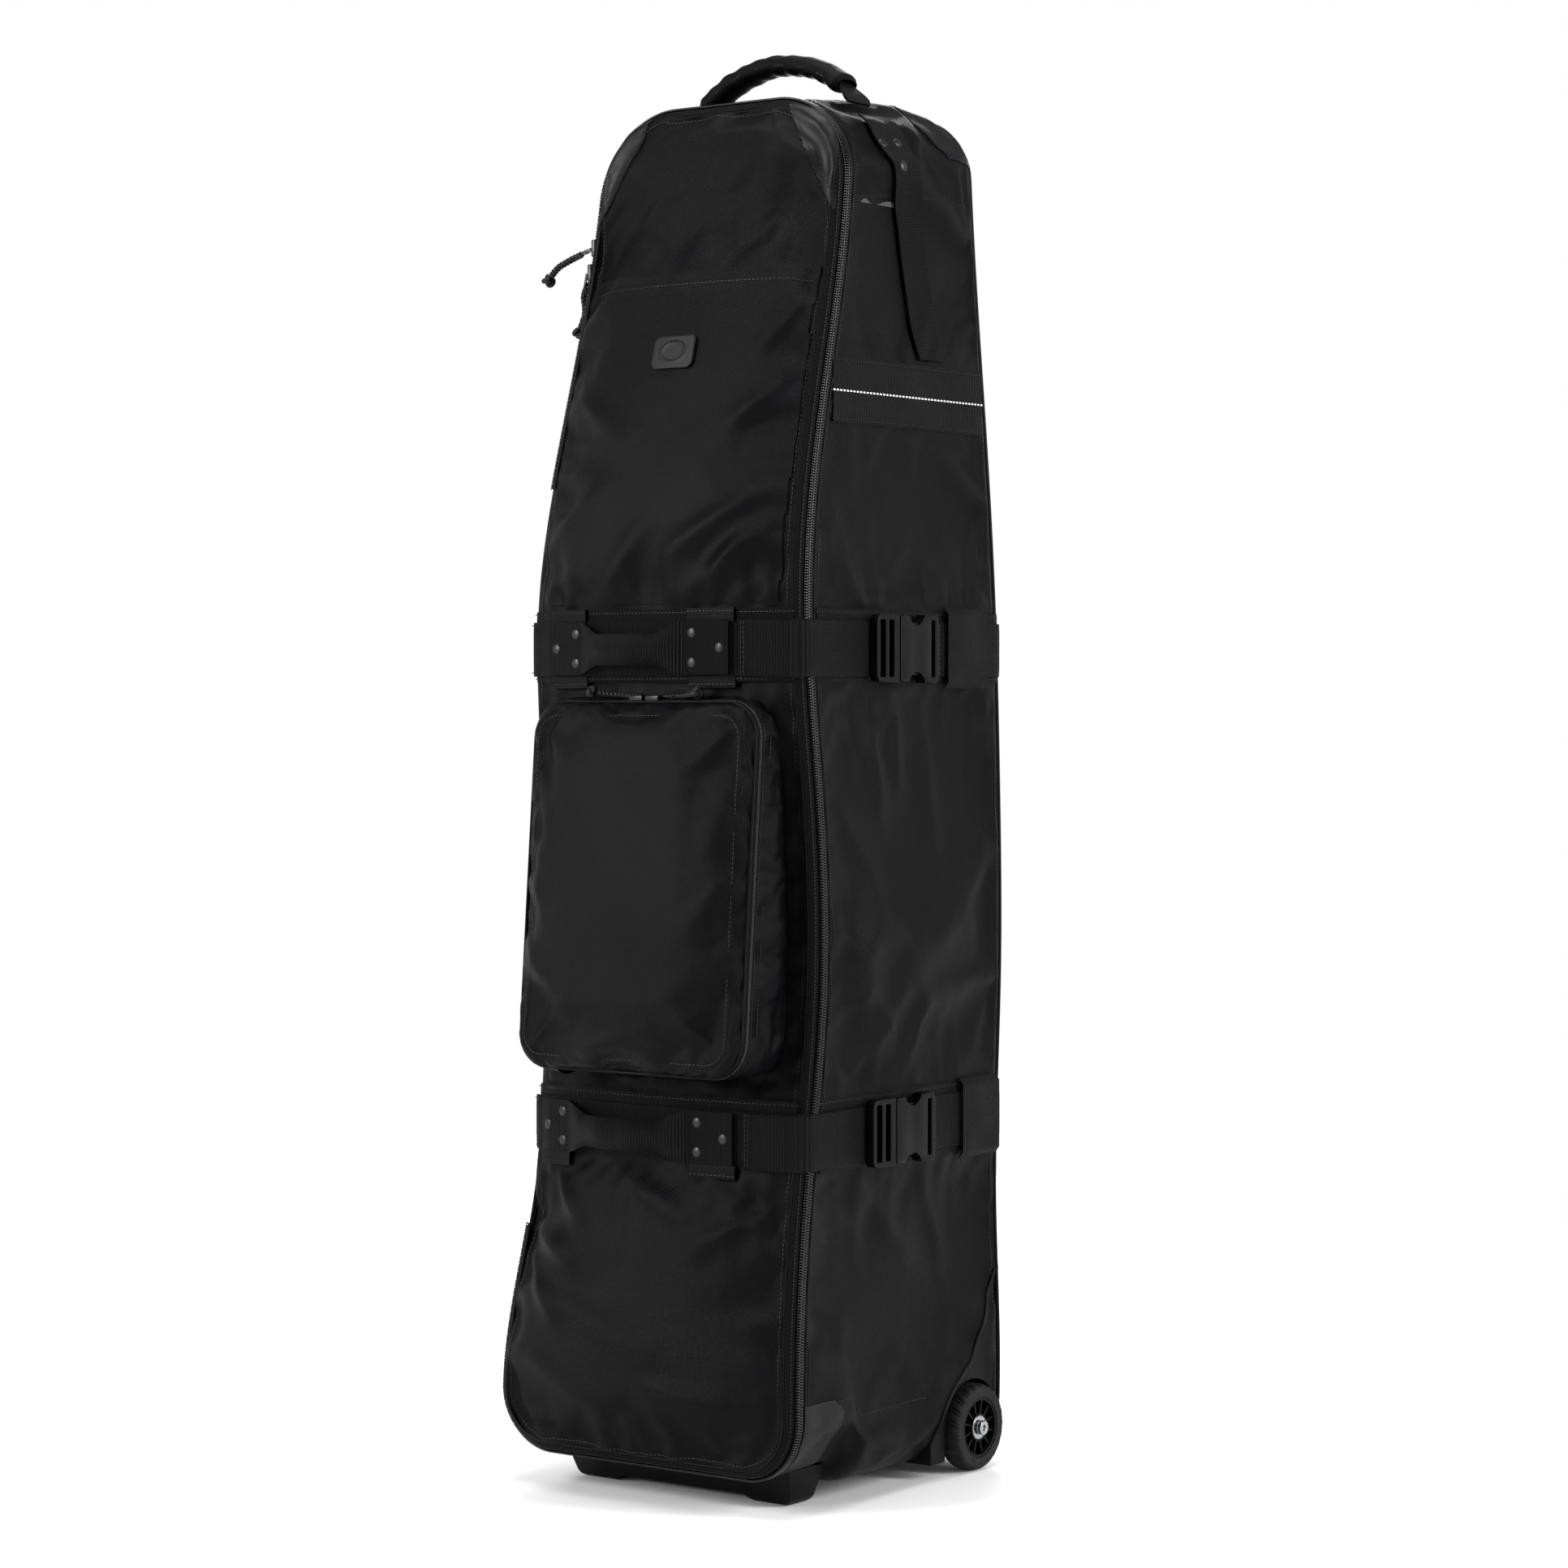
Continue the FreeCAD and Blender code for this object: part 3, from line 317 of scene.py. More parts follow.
def section(z):
    """Half of the line round the case at height z: points, normals and lengths, from the front's middle."""
    hw, zy, by = half_width(z), zip_y(z), back_y(z)
    turns = np.linspace(0, math.pi / 2, ROLL_STEPS + 1)
    x = np.linspace(0, hw - ROLL, FRONT_STEPS)
    front = np.stack([x, front_y(x, z)], 1)
    roll = np.stack([hw - ROLL + ROLL * np.sin(turns), zy - RIM - ROLL * np.cos(turns)], 1)
    y = np.linspace(zy, by - BACK_ROLL, SIDE_STEPS)
    side = np.stack([0 * y + hw, y], 1)
    back_roll = np.stack([hw - BACK_ROLL + BACK_ROLL * np.cos(turns),
                          by - BACK_ROLL + BACK_ROLL * np.sin(turns)], 1)
    back = np.stack([np.linspace(hw - BACK_ROLL, 0, BACK_STEPS + 1)[1:], np.full(BACK_STEPS, by)], 1)
    line = np.concatenate([front, roll[1:], side, back_roll[1:], back])
    along = np.gradient(line, axis=0)
    along /= np.linalg.norm(along, axis=1)[:, None]
    normal = np.stack([along[:, 1], -along[:, 0]], 1)
    length = np.concatenate([[0], np.cumsum(np.linalg.norm(np.diff(line, axis=0), axis=1))])
    return line, normal, length


def round_case(z, s, out):
    """Points and normals at height z and length s from the front's middle, positive to the right."""
    line, normal, length = section(z)
    sign = np.where(s >= 0, 1.0, -1.0)
    at = np.abs(s)
    p = np.stack([np.interp(at, length, line[:, i]) for i in (0, 1)], 1)
    n = np.stack([np.interp(at, length, normal[:, i]) for i in (0, 1)], 1)
    n /= np.linalg.norm(n, axis=1)[:, None]
    p = p + n * np.reshape(out, (-1, 1))
    return np.stack([p[:, 0] * sign, p[:, 1], 0 * s + z], 1), np.stack([n[:, 0] * sign, n[:, 1], 0 * s], 1)


def length_at_front(z, x):
    """Length from the front's middle to x on the front, with x's sign."""
    line, _, length = section(z)
    front = slice(0, FRONT_STEPS + ROLL_STEPS // 2)
    return float(np.sign(x) * np.interp(abs(x), line[front, 0], length[front]))


def length_at_side(z, y):
    """Length from the front's middle to y on the right side."""
    line, _, length = section(z)
    side = slice(FRONT_STEPS + ROLL_STEPS, FRONT_STEPS + ROLL_STEPS + SIDE_STEPS)
    return float(np.interp(y, line[side, 1], length[side]))


# ---------------------------------------------------------------- making pieces

def only(piece):
    """Selects one piece and makes it active."""
    bpy.ops.object.select_all(action="DESELECT")
    piece.select_set(True)
    bpy.context.view_layer.objects.active = piece
    return piece


def points(piece):
    """The places of a piece's vertices."""
    co = np.empty(len(piece.data.vertices) * 3, np.float32)
    piece.data.vertices.foreach_get("co", co)
    return co.reshape(-1, 3).astype(float)


def move_points(piece, co):
    piece.data.vertices.foreach_set("co", np.asarray(co, np.float32).ravel())
    piece.data.update()


def grid(name, across, along, surface, size):
    """A grid, shaped by surface(a, b) for a and b from -1 to 1; its UV map is in metres."""
    bpy.ops.object.select_all(action="DESELECT")
    bpy.ops.mesh.primitive_grid_add(x_subdivisions=across, y_subdivisions=along, size=2)
    piece = bpy.context.object
    piece.name = piece.data.name = name
    co = points(piece)
    move_points(piece, surface(co[:, 0], co[:, 1]))
    corners = np.empty(len(piece.data.loops), int)
    piece.data.loops.foreach_get("vertex_index", corners)
    uv = co[corners, :2] * np.array(size) / 2
    piece.data.uv_layers.active.data.foreach_set("uv", uv.astype(np.float32).ravel())
    return piece


def modify(piece, kind, **settings):
    """Adds a modifier and applies it."""
    only(piece)
    modifier = piece.modifiers.new(kind.lower(), kind)
    for key, value in settings.items():
        setattr(modifier, key, value)
    bpy.ops.object.modifier_apply(modifier=modifier.name)
    return piece


def weld(piece, distance=1e-5, outwards=False):
    """Merges doubles, and turns the faces outwards if asked."""
    only(piece)
    bpy.ops.object.mode_set(mode="EDIT")
    bpy.ops.mesh.select_all(action="SELECT")
    bpy.ops.mesh.remove_doubles(threshold=distance)
    if outwards:
        bpy.ops.mesh.normals_make_consistent(inside=False)
    bpy.ops.object.mode_set(mode="OBJECT")
    return piece


def flip(piece):
    only(piece)
    bpy.ops.object.mode_set(mode="EDIT")
    bpy.ops.mesh.select_all(action="SELECT")
    bpy.ops.mesh.flip_normals()
    bpy.ops.object.mode_set(mode="OBJECT")
    return piece


def cut_away(piece, point, normal, fill=False):
    """Removes what lies on the normal's side of a plane."""
    only(piece)
    bpy.ops.object.mode_set(mode="EDIT")
    bpy.ops.mesh.select_all(action="SELECT")
    bpy.ops.mesh.bisect(plane_co=point, plane_no=normal, clear_outer=True, use_fill=fill)
    bpy.ops.object.mode_set(mode="OBJECT")
    return piece


def keep_faces(piece, test):
    """Deletes the faces whose middle fails the test."""
    only(piece)
    bpy.ops.object.mode_set(mode="EDIT")
    bpy.ops.mesh.select_all(action="DESELECT")
    bpy.ops.object.mode_set(mode="OBJECT")
    middles = np.array([p.center for p in piece.data.polygons])
    piece.data.polygons.foreach_set("select", ~test(middles))
    bpy.ops.object.mode_set(mode="EDIT")
    bpy.ops.mesh.delete(type="FACE")
    bpy.ops.object.mode_set(mode="OBJECT")
    return piece


def duplicate(piece, name):
    only(piece)
    bpy.ops.object.duplicate()
    copy = bpy.context.object
    copy.name = copy.data.name = name
    return copy


def join(pieces, name):
    """Joins pieces into the first one."""
    bpy.ops.object.select_all(action="DESELECT")
    for piece in pieces:
        piece.select_set(True)
    bpy.context.view_layer.objects.active = pieces[0]
    if len(pieces) > 1:
        bpy.ops.object.join()
    pieces[0].name = pieces[0].data.name = name
    return pieces[0]


def thicken(piece, thickness, even=True):
    """Gives a sheet its thickness, inwards from its outer face."""
    return modify(piece, "SOLIDIFY", thickness=thickness, offset=-1, use_even_offset=even)


def hand_over(piece, body, finish, *nodes, crease=42):
    """Smooths a piece, gives it its finish and puts it on its body in place of CAD nodes."""
    only(piece)
    bpy.ops.object.shade_smooth_by_angle(angle=math.radians(crease))
    piece.data.materials.clear()
    piece.data.materials.append(FINISHES[finish])
    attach(piece, body)
    if nodes:
        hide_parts(*nodes)
    return piece


def frames_along(path, normals):
    """Unit axes along a path: rows of (along, sideways, normal)."""
    along = np.gradient(path, axis=0)
    along /= np.linalg.norm(along, axis=1)[:, None]
    side = np.cross(normals, along)
    side /= np.linalg.norm(side, axis=1)[:, None]
    return np.stack([along, side, np.cross(along, side)], 1)


def spaced(path, normals, pitch):
    """Points and normals at an even pitch along a path."""
    length = np.concatenate([[0], np.cumsum(np.linalg.norm(np.diff(path, axis=0), axis=1))])
    count = max(2, int(round(length[-1] / pitch)) + 1)
    at = np.linspace(0, length[-1], count)
    p = np.stack([np.interp(at, length, path[:, i]) for i in range(3)], 1)
    n = np.stack([np.interp(at, length, normals[:, i]) for i in range(3)], 1)
    return p, n / np.linalg.norm(n, axis=1)[:, None]


def copies(name, model, origins, axes):
    """One piece made of a copy of the model at each place; the model is removed."""
    co = points(model)
    faces = [list(p.vertices) for p in model.data.polygons]
    placed = (np.einsum("vj,njk->nvk", co, axes) + origins[:, None]).reshape(-1, 3)
    mesh = bpy.data.meshes.new(name)
    rings = [[i + n * len(co) for i in face] for n in range(len(origins)) for face in faces]
    mesh.from_pydata(placed.tolist(), [], rings)
    piece = bpy.data.objects.new(name, mesh)
    bpy.context.scene.collection.objects.link(piece)
    bpy.data.objects.remove(model)
    return piece


def row_at(b, count):
    """Which of count evenly spaced rows a grid's b from -1 to 1 falls on."""
    return np.clip(np.rint((b + 1) / 2 * (count - 1)).astype(int), 0, count - 1)


def tube(name, path, normals, radius, sides=8, closed=False):
    """Round cord along a path whose normals are known; radius may vary along it."""
    frames = frames_along(path, normals)
    radius = np.broadcast_to(radius, len(path))

    def surface(a, b):
        row, turn = row_at(b, len(path)), a * math.pi
        ring = frames[row, 1] * np.cos(turn)[:, None] + frames[row, 2] * np.sin(turn)[:, None]
        return path[row] + ring * radius[row][:, None]

    total = float(np.linalg.norm(np.diff(path, axis=0), axis=1).sum())
    piece = grid(name, sides, len(path) - 1, surface, (2 * math.pi * float(radius.mean()), total))
    if not closed:
        only(piece)
        bpy.ops.object.mode_set(mode="EDIT")
        bpy.ops.mesh.select_mode(type="VERT")
        bpy.ops.mesh.select_all(action="SELECT")
        bpy.ops.mesh.remove_doubles(threshold=1e-6)
        bpy.ops.mesh.select_all(action="DESELECT")
        bpy.ops.mesh.select_non_manifold()
        bpy.ops.mesh.edge_face_add()
        bpy.ops.object.mode_set(mode="OBJECT")
    return weld(piece, 1e-6, outwards=True)


def keep_form(name, piece):
    """Keeps a fabric's finished surface, so that trims can be laid on it."""
    faces = [list(face.vertices) for face in piece.data.polygons]
    FORMS[name] = BVHTree.FromPolygons([Vector(p) for p in points(piece)], faces)


def lay_on(form, co, lift=0.0):
    """Nearest points on a fabric's surface, lift above it, and its normals there."""
    hits = [FORMS[form].find_nearest(Vector(p)) for p in co]
    p, n = np.array([h[0] for h in hits]), np.array([h[1] for h in hits])
    return p + n * np.reshape(lift, (-1, 1)), n


def sew_on(form, path, **thread):
    """A line of stitches that follows the fabric."""
    path, _ = spaced(path, np.tile([0.0, 0.0, 1.0], (len(path), 1)), 0.002)
    p, n = lay_on(form, path, 0.0002)
    wide = np.ones(9) / 9
    n = np.stack([np.convolve(np.pad(n[:, i], 4, "edge"), wide, "valid") for i in range(3)], 1)
    sew(form, p, n / np.linalg.norm(n, axis=1)[:, None], **thread)


def drape(piece, form, lift, thickness):
    """Lays a flat trim on the fabric below it and gives it its thickness."""
    co, _ = lay_on(form, points(piece), lift)
    move_points(piece, co)
    return thicken(piece, thickness, even=False)


def sew(body, path, normals, pitch=0.0042, length=0.0028, radius=0.00034):
    """Keeps the places of a line of stitches for the stitching step."""
    p, n = spaced(np.asarray(path), np.asarray(normals), pitch)
    STITCHES.setdefault((body, length, radius), []).append((p, frames_along(p, n)))


def settle(piece, held, grow, pressure, cap, frames=22):
    """Cloth simulation with the held points pinned; no point moves further than the cap."""
    scene, start = bpy.context.scene, points(piece)
    only(piece)
    group = piece.vertex_groups.new(name="held")
    group.add([int(i) for i in np.flatnonzero(held)], 1.0, "REPLACE")
    modifier = piece.modifiers.new("cloth", "CLOTH")
    cloth = modifier.settings
    cloth.quality = 5
    cloth.mass = 0.25
    cloth.tension_stiffness = cloth.compression_stiffness = 30
    cloth.shear_stiffness = 12
    cloth.bending_stiffness = 1.2
    cloth.air_damping = 2
    cloth.vertex_group_mass = "held"
    cloth.shrink_min = -grow
    cloth.use_pressure = True
    cloth.uniform_pressure_force = pressure
    cloth.effector_weights.gravity = 0
    modifier.collision_settings.use_collision = False
    modifier.collision_settings.use_self_collision = False
    modifier.point_cache.frame_start, modifier.point_cache.frame_end = 1, frames
    for number in range(1, frames + 1):
        scene.frame_set(number)
    bpy.ops.object.modifier_apply(modifier=modifier.name)
    scene.frame_set(1)
    piece.vertex_groups.clear()
    moved = points(piece) - start
    far = np.linalg.norm(moved, axis=1)
    share = cap * np.tanh(far / cap) / np.maximum(far, 1e-9)
    move_points(piece, start + moved * share[:, None])
    return piece


def ripple(co, size, seed):
    """Smooth deterministic noise from -1 to 1, from a few turned waves."""
    value = np.zeros(len(co))
    for i in range(7):
        a, b = 1.7 * i + seed, 2.9 * i + 1.3 * seed
        direction = np.array([math.sin(a) * math.cos(b), math.sin(a) * math.sin(b), math.cos(a)])
        bent = 0.35 * np.sin(co @ direction[[1, 2, 0]] / size * 2.1 + b)
        value += np.sin((co @ direction) / size * (4.1 + 0.9 * i) + bent * 3 + a)
    return value / 4.2


def rounded_copy(node, name, width, segments=2, angle=30):
    """A copy of a CAD node with its doubles merged, its flats joined and its edges rounded."""
    piece = duplicate(frame["nodes"][node], name)
    piece.hide_render = piece.hide_viewport = False
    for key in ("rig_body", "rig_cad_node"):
        if key in piece:
            del piece[key]
    piece.parent = None
    weld(piece, 2e-5)
    only(piece)
    bpy.ops.object.mode_set(mode="EDIT")
    bpy.ops.mesh.select_all(action="SELECT")
    bpy.ops.mesh.dissolve_limited(angle_limit=math.radians(0.6))
    bpy.ops.object.mode_set(mode="OBJECT")
    modify(piece, "BEVEL", width=width, segments=segments, limit_method="ANGLE",
           angle_limit=math.radians(angle), use_clamp_overlap=True, harden_normals=False)
    return modify(piece, "TRIANGULATE")


def strap(name, z, half, s0, s1, out, waves=0.0003, seed=1.0, rows=8, thick=WEB):
    """Webbing round the case at height z, from length s0 to s1, its outer face out from the surface."""
    def surface(a, b):
        s = mix(s0, s1, (b + 1) / 2)
        lift = out + thick + waves * np.sin(s * 61 + seed) * np.sin(s * 23 + 2 * seed) - 0.0004 * a ** 6
        p, _ = round_case(z, s, lift)
        p[:, 2] += half * a + waves * np.sin(s * 37 + seed)
        return p

    piece = grid(name, rows, max(8, int(abs(s1 - s0) / 0.004)), surface, (2 * half, abs(s1 - s0)))
    if s1 > s0:
        flip(piece)
    return thicken(piece, thick)


def strap_stitches(body, z, half, s0, s1, out, edge=0.003):
    """Two rows of stitches along a strap's edges."""
    s = np.linspace(s0, s1, max(4, int(abs(s1 - s0) / 0.006)))
    p, n = round_case(z, s, out)
    for side in (-1, 1):
        q = p.copy()
        q[:, 2] += side * (half - edge)
        sew(body, q, n)


def rivet_model():
    """Domed rivet head with a thin flange, standing on its origin along z."""
    bpy.ops.object.select_all(action="DESELECT")
    bpy.ops.mesh.primitive_uv_sphere_add(segments=20, ring_count=10, radius=RIVET_R)
    model = bpy.context.object
    cut_away(model, (0, 0, 0), (0, 0, -1), fill=True)
    co = points(model)
    far = np.hypot(co[:, 0], co[:, 1]) / RIVET_R
    co[:, 2] = 0.0028 * np.sqrt(np.maximum(1 - (far * 0.93) ** 2.4, 0)) * (co[:, 2] > 1e-5)
    move_points(model, co)
    return model


def rivets(name, body, places, *nodes):
    """Rivet heads at (point, normal) places."""
    origins = np.array([p for p, _ in places])
    normals = np.array([n for _, n in places])
    normals /= np.linalg.norm(normals, axis=1)[:, None]
    side = np.cross(normals, [0.1, 0.2, 1.0])
    side /= np.linalg.norm(side, axis=1)[:, None]
    axes = np.stack([side, np.cross(normals, side), normals], 1)
    return hand_over(copies(name, rivet_model(), origins, axes), body, "rivet", *nodes)


# ---------------------------------------------------------------- finishes

FINISHES = {}


def node(tree, kind, **settings):
    """Adds a shader node; settings go to its properties, or to its sockets where it has one by that name."""
    made = tree.nodes.new("ShaderNode" + kind)
    for key, value in settings.items():
        socket = made.inputs.get(key.replace("_", " "))
        if socket is not None:
            socket.default_value = value
        else:
            setattr(made, key, value)
    return made


def base_finish(name, colour, roughness, **sockets):
    """A named material whose shader has its constants set on its own sockets."""
    material = bpy.data.materials.new(name)
    material.use_nodes = True
    shader = material.node_tree.nodes["Principled BSDF"]
    shader.inputs["Base Color"].default_value = (*colour, 1)
    shader.inputs["Roughness"].default_value = roughness
    for key, value in sockets.items():
        shader.inputs[key.replace("_", " ")].default_value = value
    FINISHES[name] = material
    return material.node_tree, shader


def stripes(tree, coordinates, period, direction="X", uneven=0.0):
    """Wave bands of a real period in metres."""
    wave = node(tree, "TexWave", bands_direction=direction, Scale=math.pi / 10 / period, Distortion=uneven,
                Detail_Scale=1.0)
    tree.links.new(coordinates, wave.inputs["Vector"])
    return wave.outputs["Fac"]


def clouds(tree, coordinates, size, detail=3.0):
    """Noise whose patches are about size metres across."""
    noise = node(tree, "TexNoise", Scale=1 / size, Detail=detail)
    tree.links.new(coordinates, noise.inputs["Vector"])
    return noise.outputs["Fac"]


def relief(tree, shader, *layers):
    """Chains bumps, each given as (height, distance in metres, strength), into the shader's normal."""
    last = None
    for height, distance, strength in layers:
        bump = node(tree, "Bump", Strength=strength, Distance=distance)
        tree.links.new(height, bump.inputs["Height"])
        if last is not None:
            tree.links.new(last, bump.inputs["Normal"])
        last = bump.outputs["Normal"]
    tree.links.new(last, shader.inputs["Normal"])


def vary(tree, shader, socket, source, low, high):
    """Runs a socket between two values or two colours by a pattern."""
    if socket == "Base Color":
        ramp = node(tree, "ValToRGB")
        ramp.color_ramp.elements[0].position, ramp.color_ramp.elements[1].position = 0.3, 0.7
        ramp.color_ramp.elements[0].color, ramp.color_ramp.elements[1].color = (*low, 1), (*high, 1)
        tree.links.new(source, ramp.inputs["Fac"])
        tree.links.new(ramp.outputs["Color"], shader.inputs[socket])
    else:
        span = node(tree, "MapRange", From_Min=0.3, From_Max=0.7, To_Min=low, To_Max=high)
        tree.links.new(source, span.inputs["Value"])
        tree.links.new(span.outputs["Result"], shader.inputs[socket])


def shade(colour, by):
    return tuple(c * by for c in colour)


def make_finishes(case):
    """Every finish of the case, from the colours in its settings."""
    def coordinates(tree, kind):
        return node(tree, "TexCoord").outputs[kind]

    fabric, web = tuple(case.fabric_colour), tuple(case.webbing_colour)
    for name, rough in (("fabric", 0.42), ("sleeve", 0.46)):
        tree, shader = base_finish(name, fabric, rough, Sheen_Weight=0.003, Sheen_Roughness=0.35,
                                   Specular_IOR_Level=0.065)
        uv = coordinates(tree, "UV")
        twill = stripes(tree, uv, case.weave, "DIAGONAL", uneven=0.6)
        warp = stripes(tree, uv, case.weave * 0.72, "X", uneven=0.4)
        patches = clouds(tree, uv, 0.09)
        vary(tree, shader, "Base Color", patches, shade(fabric, 0.8), shade(fabric, 1.25))
        vary(tree, shader, "Roughness", patches, rough - 0.05, rough + 0.08)
        relief(tree, shader, (clouds(tree, uv, 0.012, 2), 0.0016, 0.28), (twill, 0.00022, 0.75),
               (warp, 0.00012, 0.5))

    tree, shader = base_finish("piping", shade(fabric, 0.9), 0.5, Specular_IOR_Level=0.09)
    relief(tree, shader, (clouds(tree, coordinates(tree, "Object"), 0.0012, 2), 0.0003, 0.4))

    tree, shader = base_finish("webbing", web, 0.45, Sheen_Weight=0.003, Sheen_Roughness=0.4,
                               Specular_IOR_Level=0.08)
    uv = coordinates(tree, "UV")
    ribs = stripes(tree, uv, case.rib, "Y", uneven=0.3)
    threads = stripes(tree, uv, 0.0011, "X", uneven=0.5)
    # The colour follows the ribs' relief: painted shade in the grooves between the ribs and painted light on their
    # crests.
    vary(tree, shader, "Base Color", ribs, shade(web, 0.45), shade(web, 1.35))
    vary(tree, shader, "Roughness", clouds(tree, uv, 0.05), 0.44, 0.6)
    relief(tree, shader, (ribs, 0.0009, 0.8), (threads, 0.0003, 0.5))

    tree, shader = base_finish("tape", shade(web, 0.8), 0.6, Specular_IOR_Level=0.07)
    uv = coordinates(tree, "UV")
    relief(tree, shader, (stripes(tree, uv, 0.0012, "X"), 0.0003, 0.5),
           (stripes(tree, uv, 0.0014, "Y"), 0.0002, 0.4))

    tree, shader = base_finish("coil", (0.003, 0.003, 0.0035), 0.24, Specular_IOR_Level=0.36)
    relief(tree, shader, (clouds(tree, coordinates(tree, "Object"), 0.0015), 0.0001, 0.2))

    coat = tuple(case.coating_colour)
    tree, shader = base_finish("coating", coat, 0.42, Specular_IOR_Level=0.15)
    spot = coordinates(tree, "Object")
    vary(tree, shader, "Roughness", clouds(tree, spot, 0.02), 0.37, 0.5)
    relief(tree, shader, (clouds(tree, spot, 0.0009, 2), 0.0002, 0.35),
           (clouds(tree, spot, 0.02), 0.001, 0.15))

    plastic = tuple(case.plastic_colour)
    for name, colour, rough, grain in (("housing", plastic, 0.48, 0.5),
                                       ("hub", shade(plastic, 0.6), 0.5, 0.4),
                                       ("buckle", shade(plastic, 0.55), 0.36, 0.25)):
        tree, shader = base_finish(name, colour, rough, Specular_IOR_Level=0.10)
        spot = coordinates(tree, "Object")
        vary(tree, shader, "Roughness", clouds(tree, spot, 0.015, 4), rough - 0.06, rough + 0.09)
        vary(tree, shader, "Base Color", clouds(tree, spot, 0.04), shade(colour, 0.9), shade(colour, 1.1))
        relief(tree, shader, (clouds(tree, spot, 0.0007, 2), 0.0002, grain))

    tree, shader = base_finish("rivet", (0.022, 0.022, 0.025), 0.36, Metallic=0.7)
    vary(tree, shader, "Roughness", clouds(tree, coordinates(tree, "Object"), 0.002), 0.28, 0.46)
    tree, shader = base_finish("pull_metal", (0.022, 0.022, 0.024), 0.28, Metallic=0.7)
    vary(tree, shader, "Roughness", clouds(tree, coordinates(tree, "Object"), 0.003), 0.2, 0.4)
    tree, shader = base_finish("steel", (0.34, 0.35, 0.37), 0.25, Metallic=1.0)
    vary(tree, shader, "Roughness", clouds(tree, coordinates(tree, "Object"), 0.002), 0.14, 0.3)

    tree, shader = base_finish("cord", (0.004, 0.004, 0.0045), 0.42, Sheen_Weight=0.01,
                               Specular_IOR_Level=0.2)
    spot = coordinates(tree, "Object")
    relief(tree, shader, (clouds(tree, spot, 0.0008, 3), 0.0004, 0.5))
    tree, shader = base_finish("thread", (0.006, 0.006, 0.0065), 0.45, Specular_IOR_Level=0.2)
    relief(tree, shader, (clouds(tree, coordinates(tree, "Object"), 0.0004), 0.0001, 0.4))
    tree, shader = base_finish("white_thread", (0.72, 0.72, 0.7), 0.5)
    relief(tree, shader, (clouds(tree, coordinates(tree, "Object"), 0.0004), 0.0001, 0.4))

    tree, shader = base_finish("tyre", (0.007, 0.007, 0.008), 0.68, Specular_IOR_Level=0.16)
    spot = coordinates(tree, "Object")
    vary(tree, shader, "Base Color", clouds(tree, spot, 0.006, 5), (0.006, 0.006, 0.0065),
         (0.012, 0.0115, 0.0115))
    vary(tree, shader, "Roughness", clouds(tree, spot, 0.01), 0.6, 0.8)
    relief(tree, shader, (clouds(tree, spot, 0.0008, 3), 0.0002, 0.4))

    tree, shader = base_finish("board", (0.05, 0.05, 0.052), 0.7)
    relief(tree, shader, (clouds(tree, coordinates(tree, "Object"), 0.002), 0.0003, 0.5))
    tree, shader = base_finish("foam", (0.04, 0.04, 0.043), 0.85)
    relief(tree, shader, (clouds(tree, coordinates(tree, "Object"), 0.0012, 3), 0.0008, 0.7))


# ---------------------------------------------------------------- the case's shell

def near_strap(z, margin=0.004):
    """True where a sewn band holds the fabric."""
    held = np.zeros(len(z), bool)
    for s in STRAPS.values():
        held |= np.abs(z - s["band_z"]) < BAND_HALF + margin
    return held


def fold(co, start, end, height, width):
    """Height of one soft crease between two points of a flat sheet, highest in its middle."""
    start, end = np.array(start), np.array(end)
    run = end - start
    t = np.clip((co - start) @ run / (run @ run), 0, 1)
    gap = np.linalg.norm(co - start - t[:, None] * run, axis=1)
    wide = width * (0.45 + 0.55 * t)
    return height * np.exp(-(gap / wide) ** 2) * np.sin(math.pi * np.clip(t, 0.02, 0.98)) ** 0.6


# Creases of a side, as (start, end, height, width) with each end's y and z: down from the straps and in
# from the zip. The left side has them a little shifted.
SIDE_FOLDS = [
    ((-0.030, 0.715), (0.005, 0.600), 0.0045, 0.011),
    ((0.012, 0.715), (0.030, 0.620), 0.0038, 0.009),
    ((-0.060, 0.712), (-0.040, 0.640), 0.0030, 0.008),
    ((0.060, 0.715), (0.085, 0.560), 0.0032, 0.014),
    ((-0.090, 0.640), (-0.020, 0.560), 0.0035, 0.012),
    ((-0.095, 0.420), (-0.030, 0.455), 0.0045, 0.009),
    ((-0.030, 0.455), (0.020, 0.390), 0.0042, 0.009),
    ((-0.070, 0.365), (-0.010, 0.410), 0.0035, 0.008),
    ((0.030, 0.365), (0.060, 0.440), 0.0032, 0.012),
    ((-0.105, 0.860), (-0.035, 0.800), 0.0034, 0.011),
    ((-0.020, 0.795), (0.050, 0.850), 0.0026, 0.013),
    ((-0.110, 0.275), (-0.040, 0.245), 0.0036, 0.010),
    ((-0.040, 0.285), (0.050, 0.200), 0.0036, 0.014),
    ((0.060, 0.285), (0.100, 0.190), 0.0032, 0.012),
    ((-0.130, 0.200), (-0.050, 0.150), 0.0028, 0.014),
    ((-0.050, 1.060), (0.000, 0.990), 0.0028, 0.012),
]


def gathers(along, z, from_zip, seed):
    """Puckers that run out from the zip and up and down from the straps, fading as they go."""
    lift = 0.0016 * np.sin(z * 165 + 2.2 * np.sin(z * 31 + seed))
    lift = lift * np.exp(-np.maximum(from_zip - 0.012, 0) / 0.020)
    for number, s in enumerate(STRAPS.values()):
        gap = np.abs(z - s["band_z"]) - BAND_HALF
        shift = np.where(z > s["band_z"], 2.0, 0.4)
        wave = np.sin(along * 150 + 1.9 * np.sin(along * 47 + seed + number) + shift)
        lift = lift + 0.0030 * wave * np.exp(-np.maximum(gap, 0) / 0.034) * ease(gap / 0.010)
    return lift


